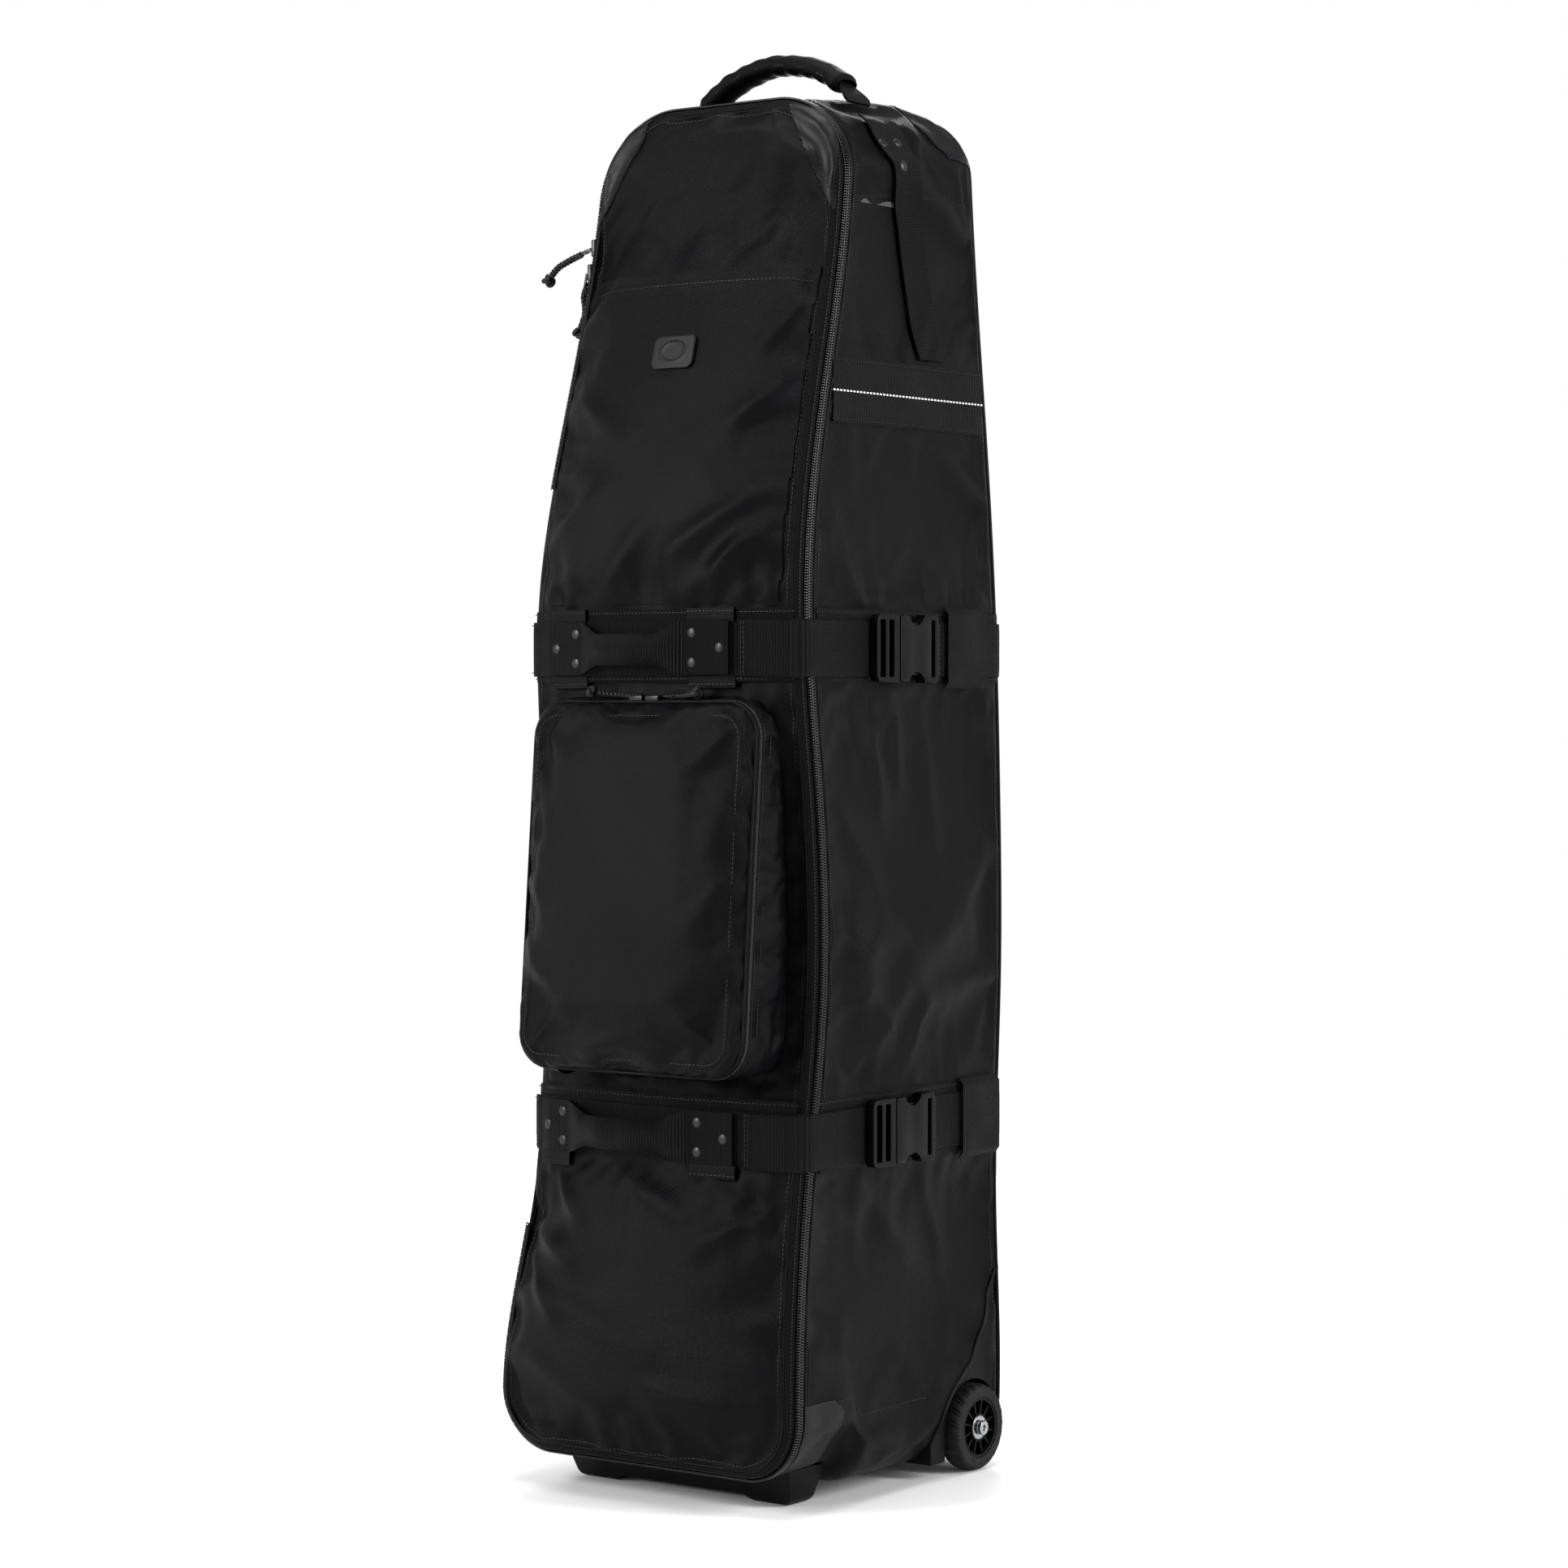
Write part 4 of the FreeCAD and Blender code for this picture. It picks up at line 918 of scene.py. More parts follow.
def housing_room(sign):
    """The space of a wheel housing, to cut out of the fabric."""
    inner, outer = sign * 0.108, sign * 0.21
    ring = [(inner, y, z) for y, z in HOUSING] + [(outer, y, z) for y, z in HOUSING]
    n = len(HOUSING)
    faces = [list(range(n)), list(range(2 * n - 1, n - 1, -1))]
    faces += [[i, i + n, (i + 1) % n + n, (i + 1) % n] for i in range(n)]
    mesh = bpy.data.meshes.new("housing_room")
    mesh.from_pydata(ring, [], faces)
    room = bpy.data.objects.new("housing_room", mesh)
    bpy.context.scene.collection.objects.link(room)
    return weld(room, 1e-6, outwards=True)


def build_shell():
    """Sides, top and bottom as one simulated wall that is then cut at its seams, and the back."""
    def wall(a, b):
        v = (b + 1) / 2
        v = mix(v, 1 - (1 - v) ** 1.6, 0.6)
        return case_wall((a + 1) / 2, v)[0]

    piece = weld(grid("case_wall", 372, 40, wall, (2.95, 0.29)))
    co = points(piece)
    ahead, behind = co[:, 1] - zip_y(co[:, 2]), back_y(co[:, 2]) - co[:, 1]
    band = (np.abs(co[:, 2] - REFLECTOR_Z) < REFLECTOR_HALF + 0.002) & (np.abs(co[:, 0]) > 0.1)
    housing = (co[:, 1] > 0.064) & (co[:, 2] < 0.10)
    held = near_strap(co[:, 2]) | (ahead < 0.0105) | (behind < 0.012) | (co[:, 2] < 0.03) | band | housing
    settle(piece, held, 0.028, 1.1, 0.0085)
    co = points(piece)
    ahead, behind = co[:, 1] - zip_y(co[:, 2]), back_y(co[:, 2]) - co[:, 1]
    push = np.zeros(len(co))
    free = ease((ahead - 0.010) / 0.02) * ease((behind - 0.010) / 0.02)
    right = co[:, 1:]
    left = right + np.stack([0.012 * np.sin(right[:, 1] * 17), 0.02 * np.cos(right[:, 0] * 9)], 1)
    for start, end, height, width in SIDE_FOLDS:
        push += np.where(co[:, 0] > 0.1, fold(right, start, end, 1.5 * height, width), 0)
        push += np.where(co[:, 0] < -0.1, fold(left, start, end, 1.5 * height, width), 0)
    push += gathers(co[:, 1], co[:, 2], ahead, np.sign(co[:, 0]))
    push += 0.0011 * ripple(co, 0.16, 2.0)
    co[:, 0] += np.sign(co[:, 0]) * push * free * np.where(np.abs(co[:, 0]) > 0.1, 1, 0)
    move_points(piece, co)
    modify(piece, "SUBSURF", levels=1, render_levels=1)
    flip(piece)
    keep_form("case", piece)
    rooms = [housing_room(1), housing_room(-1)]

    cuts = {
        "left_side": ("left_gusset", lambda m: (m[:, 0] < 0) & (m[:, 2] > SILL_Z) & (m[:, 2] < SHOULDER_Z)),
        "right_side": ("right_gusset", lambda m: (m[:, 0] > 0) & (m[:, 2] > SILL_Z) & (m[:, 2] < SHOULDER_Z)),
        "top_wall": ("top_gusset", lambda m: m[:, 2] >= SHOULDER_Z),
        "bottom_wall": ("bottom_panel", lambda m: m[:, 2] <= SILL_Z),
    }
    for name, (node_name, test) in cuts.items():
        part = keep_faces(duplicate(piece, name), test)
        thicken(part, CLOTH)
        for room in rooms if name != "top_wall" else ():
            modify(part, "BOOLEAN", operation="DIFFERENCE", object=room, solver="EXACT")
        hand_over(part, "case", "fabric", node_name, crease=60)
    for side, sign in (("right", 1), ("left", -1)):
        edge = [(0.067, 0.030), *HOUSING[:3:-1], (0.170, 0.181)]
        line = route_line("housing_edge", [(sign * 0.156, y, z) for y, z in edge])
        line, normals = lay_on("case", line, 0.0002)
        hand_over(tube(f"housing_piping_{side}", line, normals, 0.0017, 8), "case", "piping")
    for room in rooms:
        bpy.data.objects.remove(room)
    bpy.data.objects.remove(piece)

    inset, round_in = BACK_ROLL - 0.004, 0.009

    def back(a, b):
        x, z, depth, _ = soft_edge(a, b, lambda h: half_width(h) - inset, BELLY + inset, CASE_TOP - inset,
                                   BOTTOM_CORNER - round_in, BACK_TOP_CORNER - round_in, 0.0005, 0.001)
        y = back_y(z) - 0.0004 - 0.8 * depth + 0.0008 * ripple(np.stack([x, x, z], 1), 0.3, 4.0)
        return np.stack([x, y, z], 1)

    piece = flip(grid("back_wall", 44, 150, back, (0.3, 1.22)))
    thicken(piece, CLOTH)
    hand_over(piece, "case", "fabric", "back_panel", crease=60)

    u = np.linspace(0, 1, 420)
    path, normals = case_wall(u, 0 * u + 0.985, 0.0006)
    hand_over(tube("back_piping", path, normals, CORD_PIPING_R, 8, closed=True), "case", "piping")
    sew_on("case", case_wall(u, 0 * u + 0.955)[0])
    for z in (SHOULDER_Z, SILL_Z):
        y = np.linspace(0, 1, 60)
        for sign in (1, -1):
            share = whole_share(2 * side_share(z), sign)
            path = case_wall(0 * y + share, mix(0.08, 0.93 if z > 1 else 0.62, y))[0]
            sew_on("case", path + np.array([0, 0, 0.004]))
    for name, finish in (("back_board", "board"), ("base_board", "board"), ("top_foam", "foam")):
        materials = frame["nodes"][name].data.materials
        materials.clear()
        materials.append(FINISHES[finish])


# Creases of the front panel, as (start, end, height, width) with each end's x and z.
FRONT_FOLDS = [
    ((0.125, 0.900), (0.010, 0.830), 0.0050, 0.013),
    ((0.120, 0.860), (0.040, 0.800), 0.0044, 0.011),
    ((0.060, 0.795), (0.100, 0.850), 0.0036, 0.010),
    ((-0.060, 0.795), (0.000, 0.870), 0.0034, 0.014),
    ((-0.110, 0.980), (-0.030, 0.930), 0.0032, 0.014),
    ((-0.125, 0.850), (-0.060, 0.900), 0.0032, 0.013),
    ((0.120, 0.990), (0.060, 0.940), 0.0040, 0.012),
    ((0.122, 1.060), (0.085, 1.010), 0.0032, 0.009),
    ((-0.140, 0.235), (-0.060, 0.205), 0.0060, 0.013),
    ((-0.140, 0.215), (-0.085, 0.150), 0.0052, 0.012),
    ((-0.120, 0.285), (-0.060, 0.240), 0.0050, 0.010),
    ((-0.020, 0.285), (0.060, 0.250), 0.0046, 0.012),
    ((0.130, 0.265), (0.050, 0.225), 0.0044, 0.012),
    ((-0.100, 0.180), (0.040, 0.130), 0.0036, 0.018),
    ((-0.130, 0.120), (-0.020, 0.080), 0.0036, 0.016),
    ((0.020, 0.110), (0.110, 0.095), 0.0034, 0.012),
]


def build_front():
    """The front panel, the slash pocket's sheet over its upper half, a plain badge and its corner patches."""
    piece = grid("front_cover", 64, 210, front_sheet, (0.34, 1.27))
    co = points(piece)
    inside = np.minimum(half_width(co[:, 2]) - np.abs(co[:, 0]),
                        np.minimum(CASE_TOP - co[:, 2], co[:, 2] - CASE_BOTTOM))
    pocket = (np.abs(co[:, 0] - POCKET_MIDDLE) < POCKET_HALF - 0.01) & (co[:, 2] > POCKET_Z[0] + 0.01)
    pocket &= co[:, 2] < POCKET_Z[1] - 0.01
    held = near_strap(co[:, 2]) | (inside < 0.006) | pocket
    settle(piece, held, 0.03, 1.2, 0.009)
    co = points(piece)
    flat = co[:, [0, 2]]
    push = sum(fold(flat, start, end, 1.5 * height, width) for start, end, height, width in FRONT_FOLDS)
    push = push + 0.0010 * ripple(co, 0.15, 5.0)
    push += gathers(co[:, 0], co[:, 2], inside + 0.002, 0.7 * np.sign(co[:, 0])) * np.where(pocket, 0, 1)
    free = ease((inside - 0.008) / 0.02)
    pinch = np.exp(-((co[:, 2] - 0.238) / 0.022) ** 2) * ease((-co[:, 0] - 0.09) / 0.05)
    co[:, 1] += 0.010 * pinch - push * free * np.where(near_strap(co[:, 2], 0), 0.15, 1)
    move_points(piece, co)
    modify(piece, "SUBSURF", levels=1, render_levels=1)
    keep_form("front_panel", piece)
    sheet = keep_faces(duplicate(piece, "slash_pocket"), lambda m: (
        (np.abs(m[:, 0]) < np.minimum(SLASH_HALF, half_width(m[:, 2]) - 0.011))
        & (m[:, 2] > SLASH_FOOT) & (m[:, 2] < SLASH_HEM)))
    thicken(piece, PANEL_CLOTH)
    hand_over(piece, "front_panel", "fabric", "front_panel", crease=60)
    co = points(sheet)
    rim = ease((SLASH_HEM - co[:, 2]) / 0.012)
    bead = np.exp(-((co[:, 2] - 1.079) / 0.0035) ** 2)
    co[:, 1] -= 0.0016 + 0.0022 * (1 - rim) + 0.0007 * bead
    move_points(sheet, co)
    thicken(sheet, 0.0013)
    hand_over(sheet, "front_panel", "fabric", "slash_pocket_panel", crease=60)

    x = np.linspace(-0.122, 0.122, 60)
    path, normals = lay_on("front_panel", np.stack([x, front_y(x, 1.077), 0 * x + 1.077], 1))
    sew("front_panel", path - np.array([0, 0.0024, 0]), np.tile([0, -1.0, 0], (60, 1)))
    u = np.linspace(0, 1, 400)
    sew_on("front_panel", panel_rim(u, 0 * u + 0.0175)[0])

    middle = np.array([(0.0, float(front_y(0.0, BADGE_Z)), BADGE_Z)])
    badge_y = lay_on("front_panel", middle)[0][0, 1]

    def badge(a, b):
        x, z, depth, _ = soft_edge(a, b, lambda h: 0 * h + BADGE_HALF, 1.002, 1.032, 0.007, 0.007, 0.0008, 0.0012)
        ring = np.exp(-((np.hypot(x / 1.5, z - BADGE_Z) - 0.0088) / 0.0009) ** 2)
        y = badge_y + 0.004 * (z - BADGE_Z) / 0.015 - 0.0042
        y = y + front_y(x, BADGE_Z) - front_y(0.0, BADGE_Z) - depth - 0.0007 * ring
        return np.stack([x, y, z], 1)

    piece = grid("front_badge_plate", 60, 44, badge, (0.046, 0.03))
    thicken(piece, 0.001)
    hand_over(piece, "front_panel", "coating", "front_badge")

    def corner(sign):
        def surface(a, b):
            a, b = mix(0.30, 1.0, (a + 1) / 2) * sign, mix(0.72, 1.0, (b + 1) / 2)
            return front_sheet(a, b, TRIM_OUT)

        made = grid("corner", 40, 44, surface, (0.1, 0.14))
        if sign < 0:
            flip(made)
        cut_away(made, (sign * 0.074, 0, 1.242), (-sign * 0.088, 0, -0.050))
        return drape(made, "front_panel", TRIM_OUT, TRIM)

    corners = join([corner(1), corner(-1)], "front_corner_coating")
    hand_over(corners, "front_panel", "coating", "front_corner_patches", crease=50)
    t = np.linspace(0, 1, 40)
    for sign in (1, -1):
        x, z = sign * mix(0.0795, 0.1270, t), mix(1.237, 1.160, t)
        sew("front_panel", *lay_on("front_panel", np.stack([x, front_y(x, z), z], 1), 0.0014))


def case_patch(sign, steps, size, share, depth, out, cuts):
    """A patch on the case between two outline shares and two depths, trimmed by planes."""
    def surface(a, b):
        u = whole_share(mix(*share, (a + 1) / 2), sign)
        return case_wall(u, mix(*depth, (b + 1) / 2), out)[0]

    piece = flip(grid("patch", *steps, surface, size))
    for point, normal in cuts:
        cut_away(piece, point, normal)
    if sign < 0:
        flip(piece)
    return drape(piece, "case", TRIM_OUT, TRIM)


def build_patches():
    """Coated patches on the upper back corners and the lower front corners of the case."""
    made = []
    for sign in (1, -1):
        made.append(case_patch(sign, (60, 40), (0.13, 0.1), (0.895, 0.985), (0.55, 0.995), 0.002, (
            ((sign * 0.09, 0.104, 1.250), (0, -0.145, -0.040)),
            ((sign * 0.13, 0.104, 1.1765), (0, -0.52, -0.60)),
            ((sign * 0.080, 0.1, 1.2), (-sign, 0, 0)))))
        made.append(case_patch(sign, (40, 40), (0.12, 0.08), (0.085, 0.165), (0.03, 0.27), 0.0016, (
            ((sign * 0.16, -0.086, 0.05), (0, 1, 0)),
            ((sign * 0.16, -0.1, 0.099), (0, 0, 1)),
            ((sign * 0.16, -0.090, 0.092), (0, 1, 1)))))
    hand_over(join(made, "case_corner_coating"), "case", "coating", "case_corner_patches", crease=50)


# ---------------------------------------------------------------- zips

def tooth_model(length, width, height):
    """One element of a coil: a short bar along x with rounded ends, its head at x 0."""
    bpy.ops.object.select_all(action="DESELECT")
    bpy.ops.mesh.primitive_cylinder_add(vertices=6, radius=0.5, depth=1, rotation=(0, math.pi / 2, 0),
                                        end_fill_type="NGON")
    model = bpy.context.object
    bpy.ops.object.transform_apply(location=False, rotation=True, scale=True)
    only(model)
    bpy.ops.object.mode_set(mode="EDIT")
    bpy.ops.mesh.select_mode(type="FACE")
    bpy.ops.mesh.select_all(action="DESELECT")
    bpy.ops.object.mode_set(mode="OBJECT")
    for face in model.data.polygons:
        face.select = abs(face.normal.x) > 0.9
    bpy.ops.object.mode_set(mode="EDIT")
    bpy.ops.mesh.extrude_region_shrink_fatten(TRANSFORM_OT_shrink_fatten={"value": 0.0})
    bpy.ops.object.mode_set(mode="OBJECT")
    co = points(model)
    ends = np.array([f.select for f in model.data.polygons])
    tip = np.zeros(len(co), bool)
    for face, chosen in zip(model.data.polygons, ends):
        if chosen:
            tip[list(face.vertices)] = True
    co[tip, 1:] *= 0.55
    co[~tip, 0] *= 0.72
    co = co * np.array([length, width, height]) + np.array([length / 2, 0, 0])
    move_points(model, co)
    return model


def zip_row(name, body, path, normals, inward, length, pitch, height, shift, *nodes):
    """A row of coil elements along a path; inward is the direction from the zip line to the tape."""
    p, n = spaced(path, normals, pitch)
    axes = frames_along(p, n)
    reach = axes[:, 1] * inward
    origins = p + axes[:, 0] * pitch * shift - reach * 0.0006
    frames = np.stack([reach, np.cross(axes[:, 2], reach), axes[:, 2]], 1)
    piece = copies(name, tooth_model(length, pitch * 0.86, height), origins, frames)
    return hand_over(piece, body, "coil", *nodes, crease=50)


def zip_run(count):
    """Outline shares of the zip, from the hinge's top over the top, down the right and up to its foot."""
    return np.linspace(1 - side_share(HINGE_HIGH), -side_share(HINGE_LOW), count)


def build_zip():
    """Coil and tapes of the main zip, the folds that cover the tapes' edges, and their stitches."""
    u = zip_run(ZIP_STEPS)
    z = outline(both_halves(u)[0])[1]
    stitch_in, cloth = 0.0072, 0.0008

    def case_tape(a, b):
        row = row_at(b, ZIP_STEPS)
        p, n = wall_at(u[row], zip_y(z[row]) + mix(0.0004, 0.0105, (a + 1) / 2))
        return p + n * (0.0014 + 0.0003 * np.sin(u[row] * 400))[:, None]

    def panel_tape(a, b):
        p, n = panel_rim(u[row_at(b, ZIP_STEPS)], mix(0.0004, 0.0115, (a + 1) / 2))
        return p + n * 0.0014

    tape = weld(grid("case_zip_tape", 6, ZIP_STEPS - 1, case_tape, (0.01, ZIP_LENGTH)))
    hand_over(thicken(flip(tape), cloth), "case", "tape", "main_zip_case_half")
    tape = weld(grid("panel_zip_tape", 6, ZIP_STEPS - 1, panel_tape, (0.01, ZIP_LENGTH)))
    hand_over(thicken(tape, cloth), "front_panel", "tape", "main_zip_panel_half")

    path, normals = wall_at(u, zip_y(z) + 0.0002, 0.0030)
    zip_row("case_zip_coil", "case", path, normals, 1, 0.0048, 0.0024, 0.0030, 0.0)
    path, normals = panel_rim(u, 0 * u + 0.0002, 0.0030)
    zip_row("panel_zip_coil", "front_panel", path, normals, -1, 0.0046, 0.0024, 0.0030, 0.5)

    path, normals = wall_at(u, zip_y(z) + 0.0118, 0.0010)
    hand_over(tube("case_zip_piping", path, normals, PIPING_R, 8), "case", "piping")
    path, normals = panel_rim(u, 0 * u + 0.0128, 0.0008)
    hand_over(tube("panel_zip_piping", path, normals, PIPING_R, 8), "front_panel", "piping")
    path, normals = wall_at(u, zip_y(z) + stitch_in, 0.0017)
    sew("case", path, normals, 0.0036, 0.0024)
    path, normals = panel_rim(u, 0 * u + stitch_in, 0.0017)
    sew("front_panel", path, normals, 0.0036, 0.0024)
    sew_on("case", wall_at(u, zip_y(z) + 0.0165)[0])

    run = np.linspace(1 - side_share(HINGE_HIGH), 1 - side_share(HINGE_LOW), 200)
    path, normals = panel_rim(run, 0 * run, 0.0004)
    hand_over(tube("hinge_piping", path, normals, CORD_PIPING_R, 8), "case", "piping")


def slider_body(name, node_name, body):
    """Zip slider: the frame's block with rounded edges."""
    piece = rounded_copy(node_name, name, 0.0012, 3)
    return hand_over(piece, body, "pull_metal", node_name)


def route_line(name, route):
    """The smooth line of a cord's route, as points read from its NURBS spline."""
    curve = bpy.data.curves.new(name, "CURVE")
    curve.dimensions = "3D"
    spline = curve.splines.new("NURBS")
    spline.points.add(len(route) - 1)
    for point, place in zip(spline.points, route):
        point.co = (*place, 1)
    spline.order_u = 3
    spline.use_endpoint_u = True
    spline.resolution_u = 16
    holder = bpy.data.objects.new(name, curve)
    bpy.context.scene.collection.objects.link(holder)
    bpy.context.view_layer.update()
    mesh = bpy.data.meshes.new_from_object(holder)
    line = np.array([v.co for v in mesh.vertices])
    bpy.data.objects.remove(holder)
    return line


def twisted_cord(name, route, body, node_name):
    """Three-strand cord along a route with a round knot at its end."""
    line, up = route_line(name + "_route", route), np.array([0.13, 0.2, 1.0])
    fine, _ = spaced(line, np.tile(up, (len(line), 1)), 0.0007)
    frames = frames_along(fine, np.tile(up, (len(fine), 1)))
    steps = np.linspace(0, 1, len(fine))
    length = float(np.linalg.norm(np.diff(fine, axis=0), axis=1).sum())
    strands = []
    for i in range(3):
        turn = steps * length / STRAND_LAY * 2 * math.pi + i * 2 * math.pi / 3
        off = frames[:, 1] * np.cos(turn)[:, None] + frames[:, 2] * np.sin(turn)[:, None]
        strands.append(tube(name, fine + off * STRAND_OUT, off, STRAND_R, 8))
    piece = join(strands, name)
    hand_over(piece, body, "cord", node_name)

    end = fine[-1] - fine[-3]
    end /= np.linalg.norm(end)
    middle = fine[-1] + end * (KNOT_R - 0.0018)
    turns = np.linspace(0, 2 * math.pi, 97)
    side = np.cross(end, [0.2, 0.3, 1.0])
    side /= np.linalg.norm(side)
    other = np.cross(end, side)
    size = KNOT_R - 0.0022
    knot = (np.outer(np.sin(turns) + 2 * np.sin(2 * turns), side)
            + np.outer(np.cos(turns) - 2 * np.cos(2 * turns), other)
            - np.outer(np.sin(3 * turns), end) * 1.5) / 3 * size
    outward = knot / np.maximum(np.linalg.norm(knot, axis=1), 1e-9)[:, None]
    ball = tube(name + "_knot", middle + knot, outward + 0.01, 0.0026, 10, closed=True)
    hand_over(ball, body, "cord")
    return piece


def build_pulls():
    """Sliders, metal pulls and knotted cords of the main zip and of the pocket's zip."""
    for name, z in SLIDER_Z.items():
        slider_body(f"{name}_slider_body", f"{name}_zip_slider", f"{name}_slider")
        piece = rounded_copy(f"{name}_zip_pull", f"{name}_pull_tab", 0.0005, 2)
        hand_over(piece, f"{name}_pull", "pull_metal", f"{name}_zip_pull")
        low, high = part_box(f"{name}_zip_slider")
        start = np.array([low.x - 0.0013, (low.y + high.y) / 2, z])
        aim = np.array(PULL_AIM[name]) / np.linalg.norm(PULL_AIM[name])
        route = [start + aim * a + np.array([0, b, -c]) for a, b, c in PULL_ROUTE[name]]
        twisted_cord(f"{name}_cord", route, f"{name}_pull", f"{name}_pull_cord")
    slider_body("pocket_slider_bodies", "pocket_sliders", "front_panel")
    for name, x in POCKET_SLIDER_X.items():
        sign = -1 if name == "left" else 1
        start = np.array([x + sign * 0.0040, POCKET_SLANT[1] + 0.0186, POCKET_Z[1] + 0.0019 + CORD_D / 2])
        route = [start + np.array([sign * a, b, c]) for a, b, c in POCKET_ROUTE]
        twisted_cord(f"pocket_{name}_pull", route, "front_panel", f"pocket_{name}_cord")


# ---------------------------------------------------------------- straps

def build_straps():
    """Sewn bands, belts with their tails, keepers and the folded tabs beside the grips."""
    groups = {key: [] for key in ("case_base", "panel_base", "rear", "keepers", "tabs")}
    for number, (name, s) in enumerate(STRAPS.items()):
        z, zb = s["band_z"], s["belt_z"]
        zip_side = length_at_side(z, zip_y(z) + 0.0125)
        half_round = section(z)[2][-1]
        for seed, (s0, s1) in enumerate(((zip_side, half_round), (-half_round, -zip_side)), 1 + number):
            groups["case_base"].append(strap("band", z, BAND_HALF, s0, s1, BAND_OUT, 0.0004, seed))
            strap_stitches("case", z, BAND_HALF, s0, s1, BAND_OUT + WEB + 0.0002)
        edge = length_at_front(z, half_width(z) - 0.006)
        groups["panel_base"].append(strap("band", z, BAND_HALF, -edge, edge, BAND_OUT, 0.0004, 3 + number))
        strap_stitches("front_panel", z, BAND_HALF, -edge, edge, BAND_OUT + WEB + 0.0002)

        left = -length_at_front(zb, half_width(zb) - 0.004)
        ladder = length_at_side(zb, s["buckle_y"] - LADDER + 0.004)
        belt = strap("belt", zb, BELT_HALF, left, ladder, BELT_OUT, 0.0003, 4 + number)
        tail_start = length_at_front(zb, s["patch_right"][1] + 0.006)
        tail = strap("tail", zb - 0.001, BELT_HALF, tail_start, ladder - 0.002, TAIL_OUT, 0.0005, 5 + number)
        hand_over(join([belt, tail], f"{name}_front_belt"), "front_panel", "webbing", f"{name}_belt_front")
        patch = -length_at_front(zb, abs(s["patch_left"][0]))
        strap_stitches("front_panel", zb, BELT_HALF, left, patch, BELT_OUT + WEB + 0.0002)
        hem = np.linspace(-1, 1, 12)
        for gap in (0.003, 0.006):
            p, n = round_case(zb, 0 * hem + tail_start + gap, TAIL_OUT + WEB + 0.0004)
            p[:, 2] += hem * (BELT_HALF - 0.003)
            sew("front_panel", p, n)

        socket = length_at_side(zb, s["buckle_y"] + SOCKET - 0.008)
        zip_left = length_at_side(zb, zip_y(zb) + 0.0135)
        for seed, (s0, s1) in enumerate(((socket, half_round), (-half_round, -zip_left)), 6 + number):
            groups["rear"].append(strap("rear", zb, BELT_HALF, s0, s1, BELT_OUT, 0.0003, seed))
        for y0 in (s["buckle_y"] + SOCKET + 0.0022, s["buckle_y"] + SOCKET + 0.0165):
            p, n = round_case(zb, 0 * hem + length_at_side(zb, y0), BELT_OUT + WEB + 0.0003)
            p[:, 2] += hem * (BELT_HALF - 0.003)
            sew("case", p, n)

        low, high = (length_at_side(zb, y) for y in s["keeper"])
        for sign in (1, -1):
            groups["keepers"].append(keeper_loop(zb, sign * low, sign * high))
        groups["tabs"] += strap_tabs(s)
    hand_over(join(groups["case_base"], "case_bands"), "case", "webbing", "case_base_webbing")
    hand_over(join(groups["panel_base"], "panel_bands"), "front_panel", "webbing", "panel_base_webbing")
    hand_over(join(groups["rear"], "rear_belt_runs"), "case", "webbing", "rear_belts")
    hand_over(join(groups["keepers"], "keeper_loops"), "case", "webbing", "belt_keepers")
    hand_over(join(groups["tabs"], "fabric_tabs"), "front_panel", "fabric", "strap_tabs")


def keeper_loop(z, s0, s1):
    """Webbing loop that arches over the belt and is sewn down above and below it."""
    def surface(a, b):
        s = mix(s0, s1, (b + 1) / 2)
        high = ease((1.0 - np.abs(a)) / 0.16)
        p, _ = round_case(z, s, 0.0026 + WEB + high * 0.0042 + 0.0003 * np.sin(s * 70))
        p[:, 2] += a * 0.0365 + 0.001
        return p
    piece = grid("keeper", 28, 22, surface, (0.073, abs(s1 - s0)))
    if s1 > s0:
        flip(piece)
    line = np.linspace(s0, s1, 14)
    for up in (0.0355, -0.0335):
        p, n = round_case(z, line, 0.0026 + WEB + 0.0006)
        p[:, 2] += up
        sew("case", p, n)
    return thicken(piece, WEB)


def strap_tabs(s):
    """Folded fabric ends that show above and below the belt beside each grip patch."""
    tabs = []
    z = s["belt_z"]
    for low, high in (s["patch_left"], s["patch_right"]):
        s0, s1 = length_at_front(z, low + 0.002), length_at_front(z, high + 0.001)
        for up in (1, -1):
            middle = z + up * (BELT_HALF + 0.0045)
            tabs.append(strap("tab", middle, 0.0062, s0, s1, BELT_OUT - 0.0006, 0.0004, 9, thick=CLOTH))
            p, n = round_case(middle, np.linspace(s0 + 0.002, s1 - 0.002, 12), BELT_OUT + 0.0028)
            p[:, 2] += up * 0.003
            sew("front_panel", p, n)
    return tabs


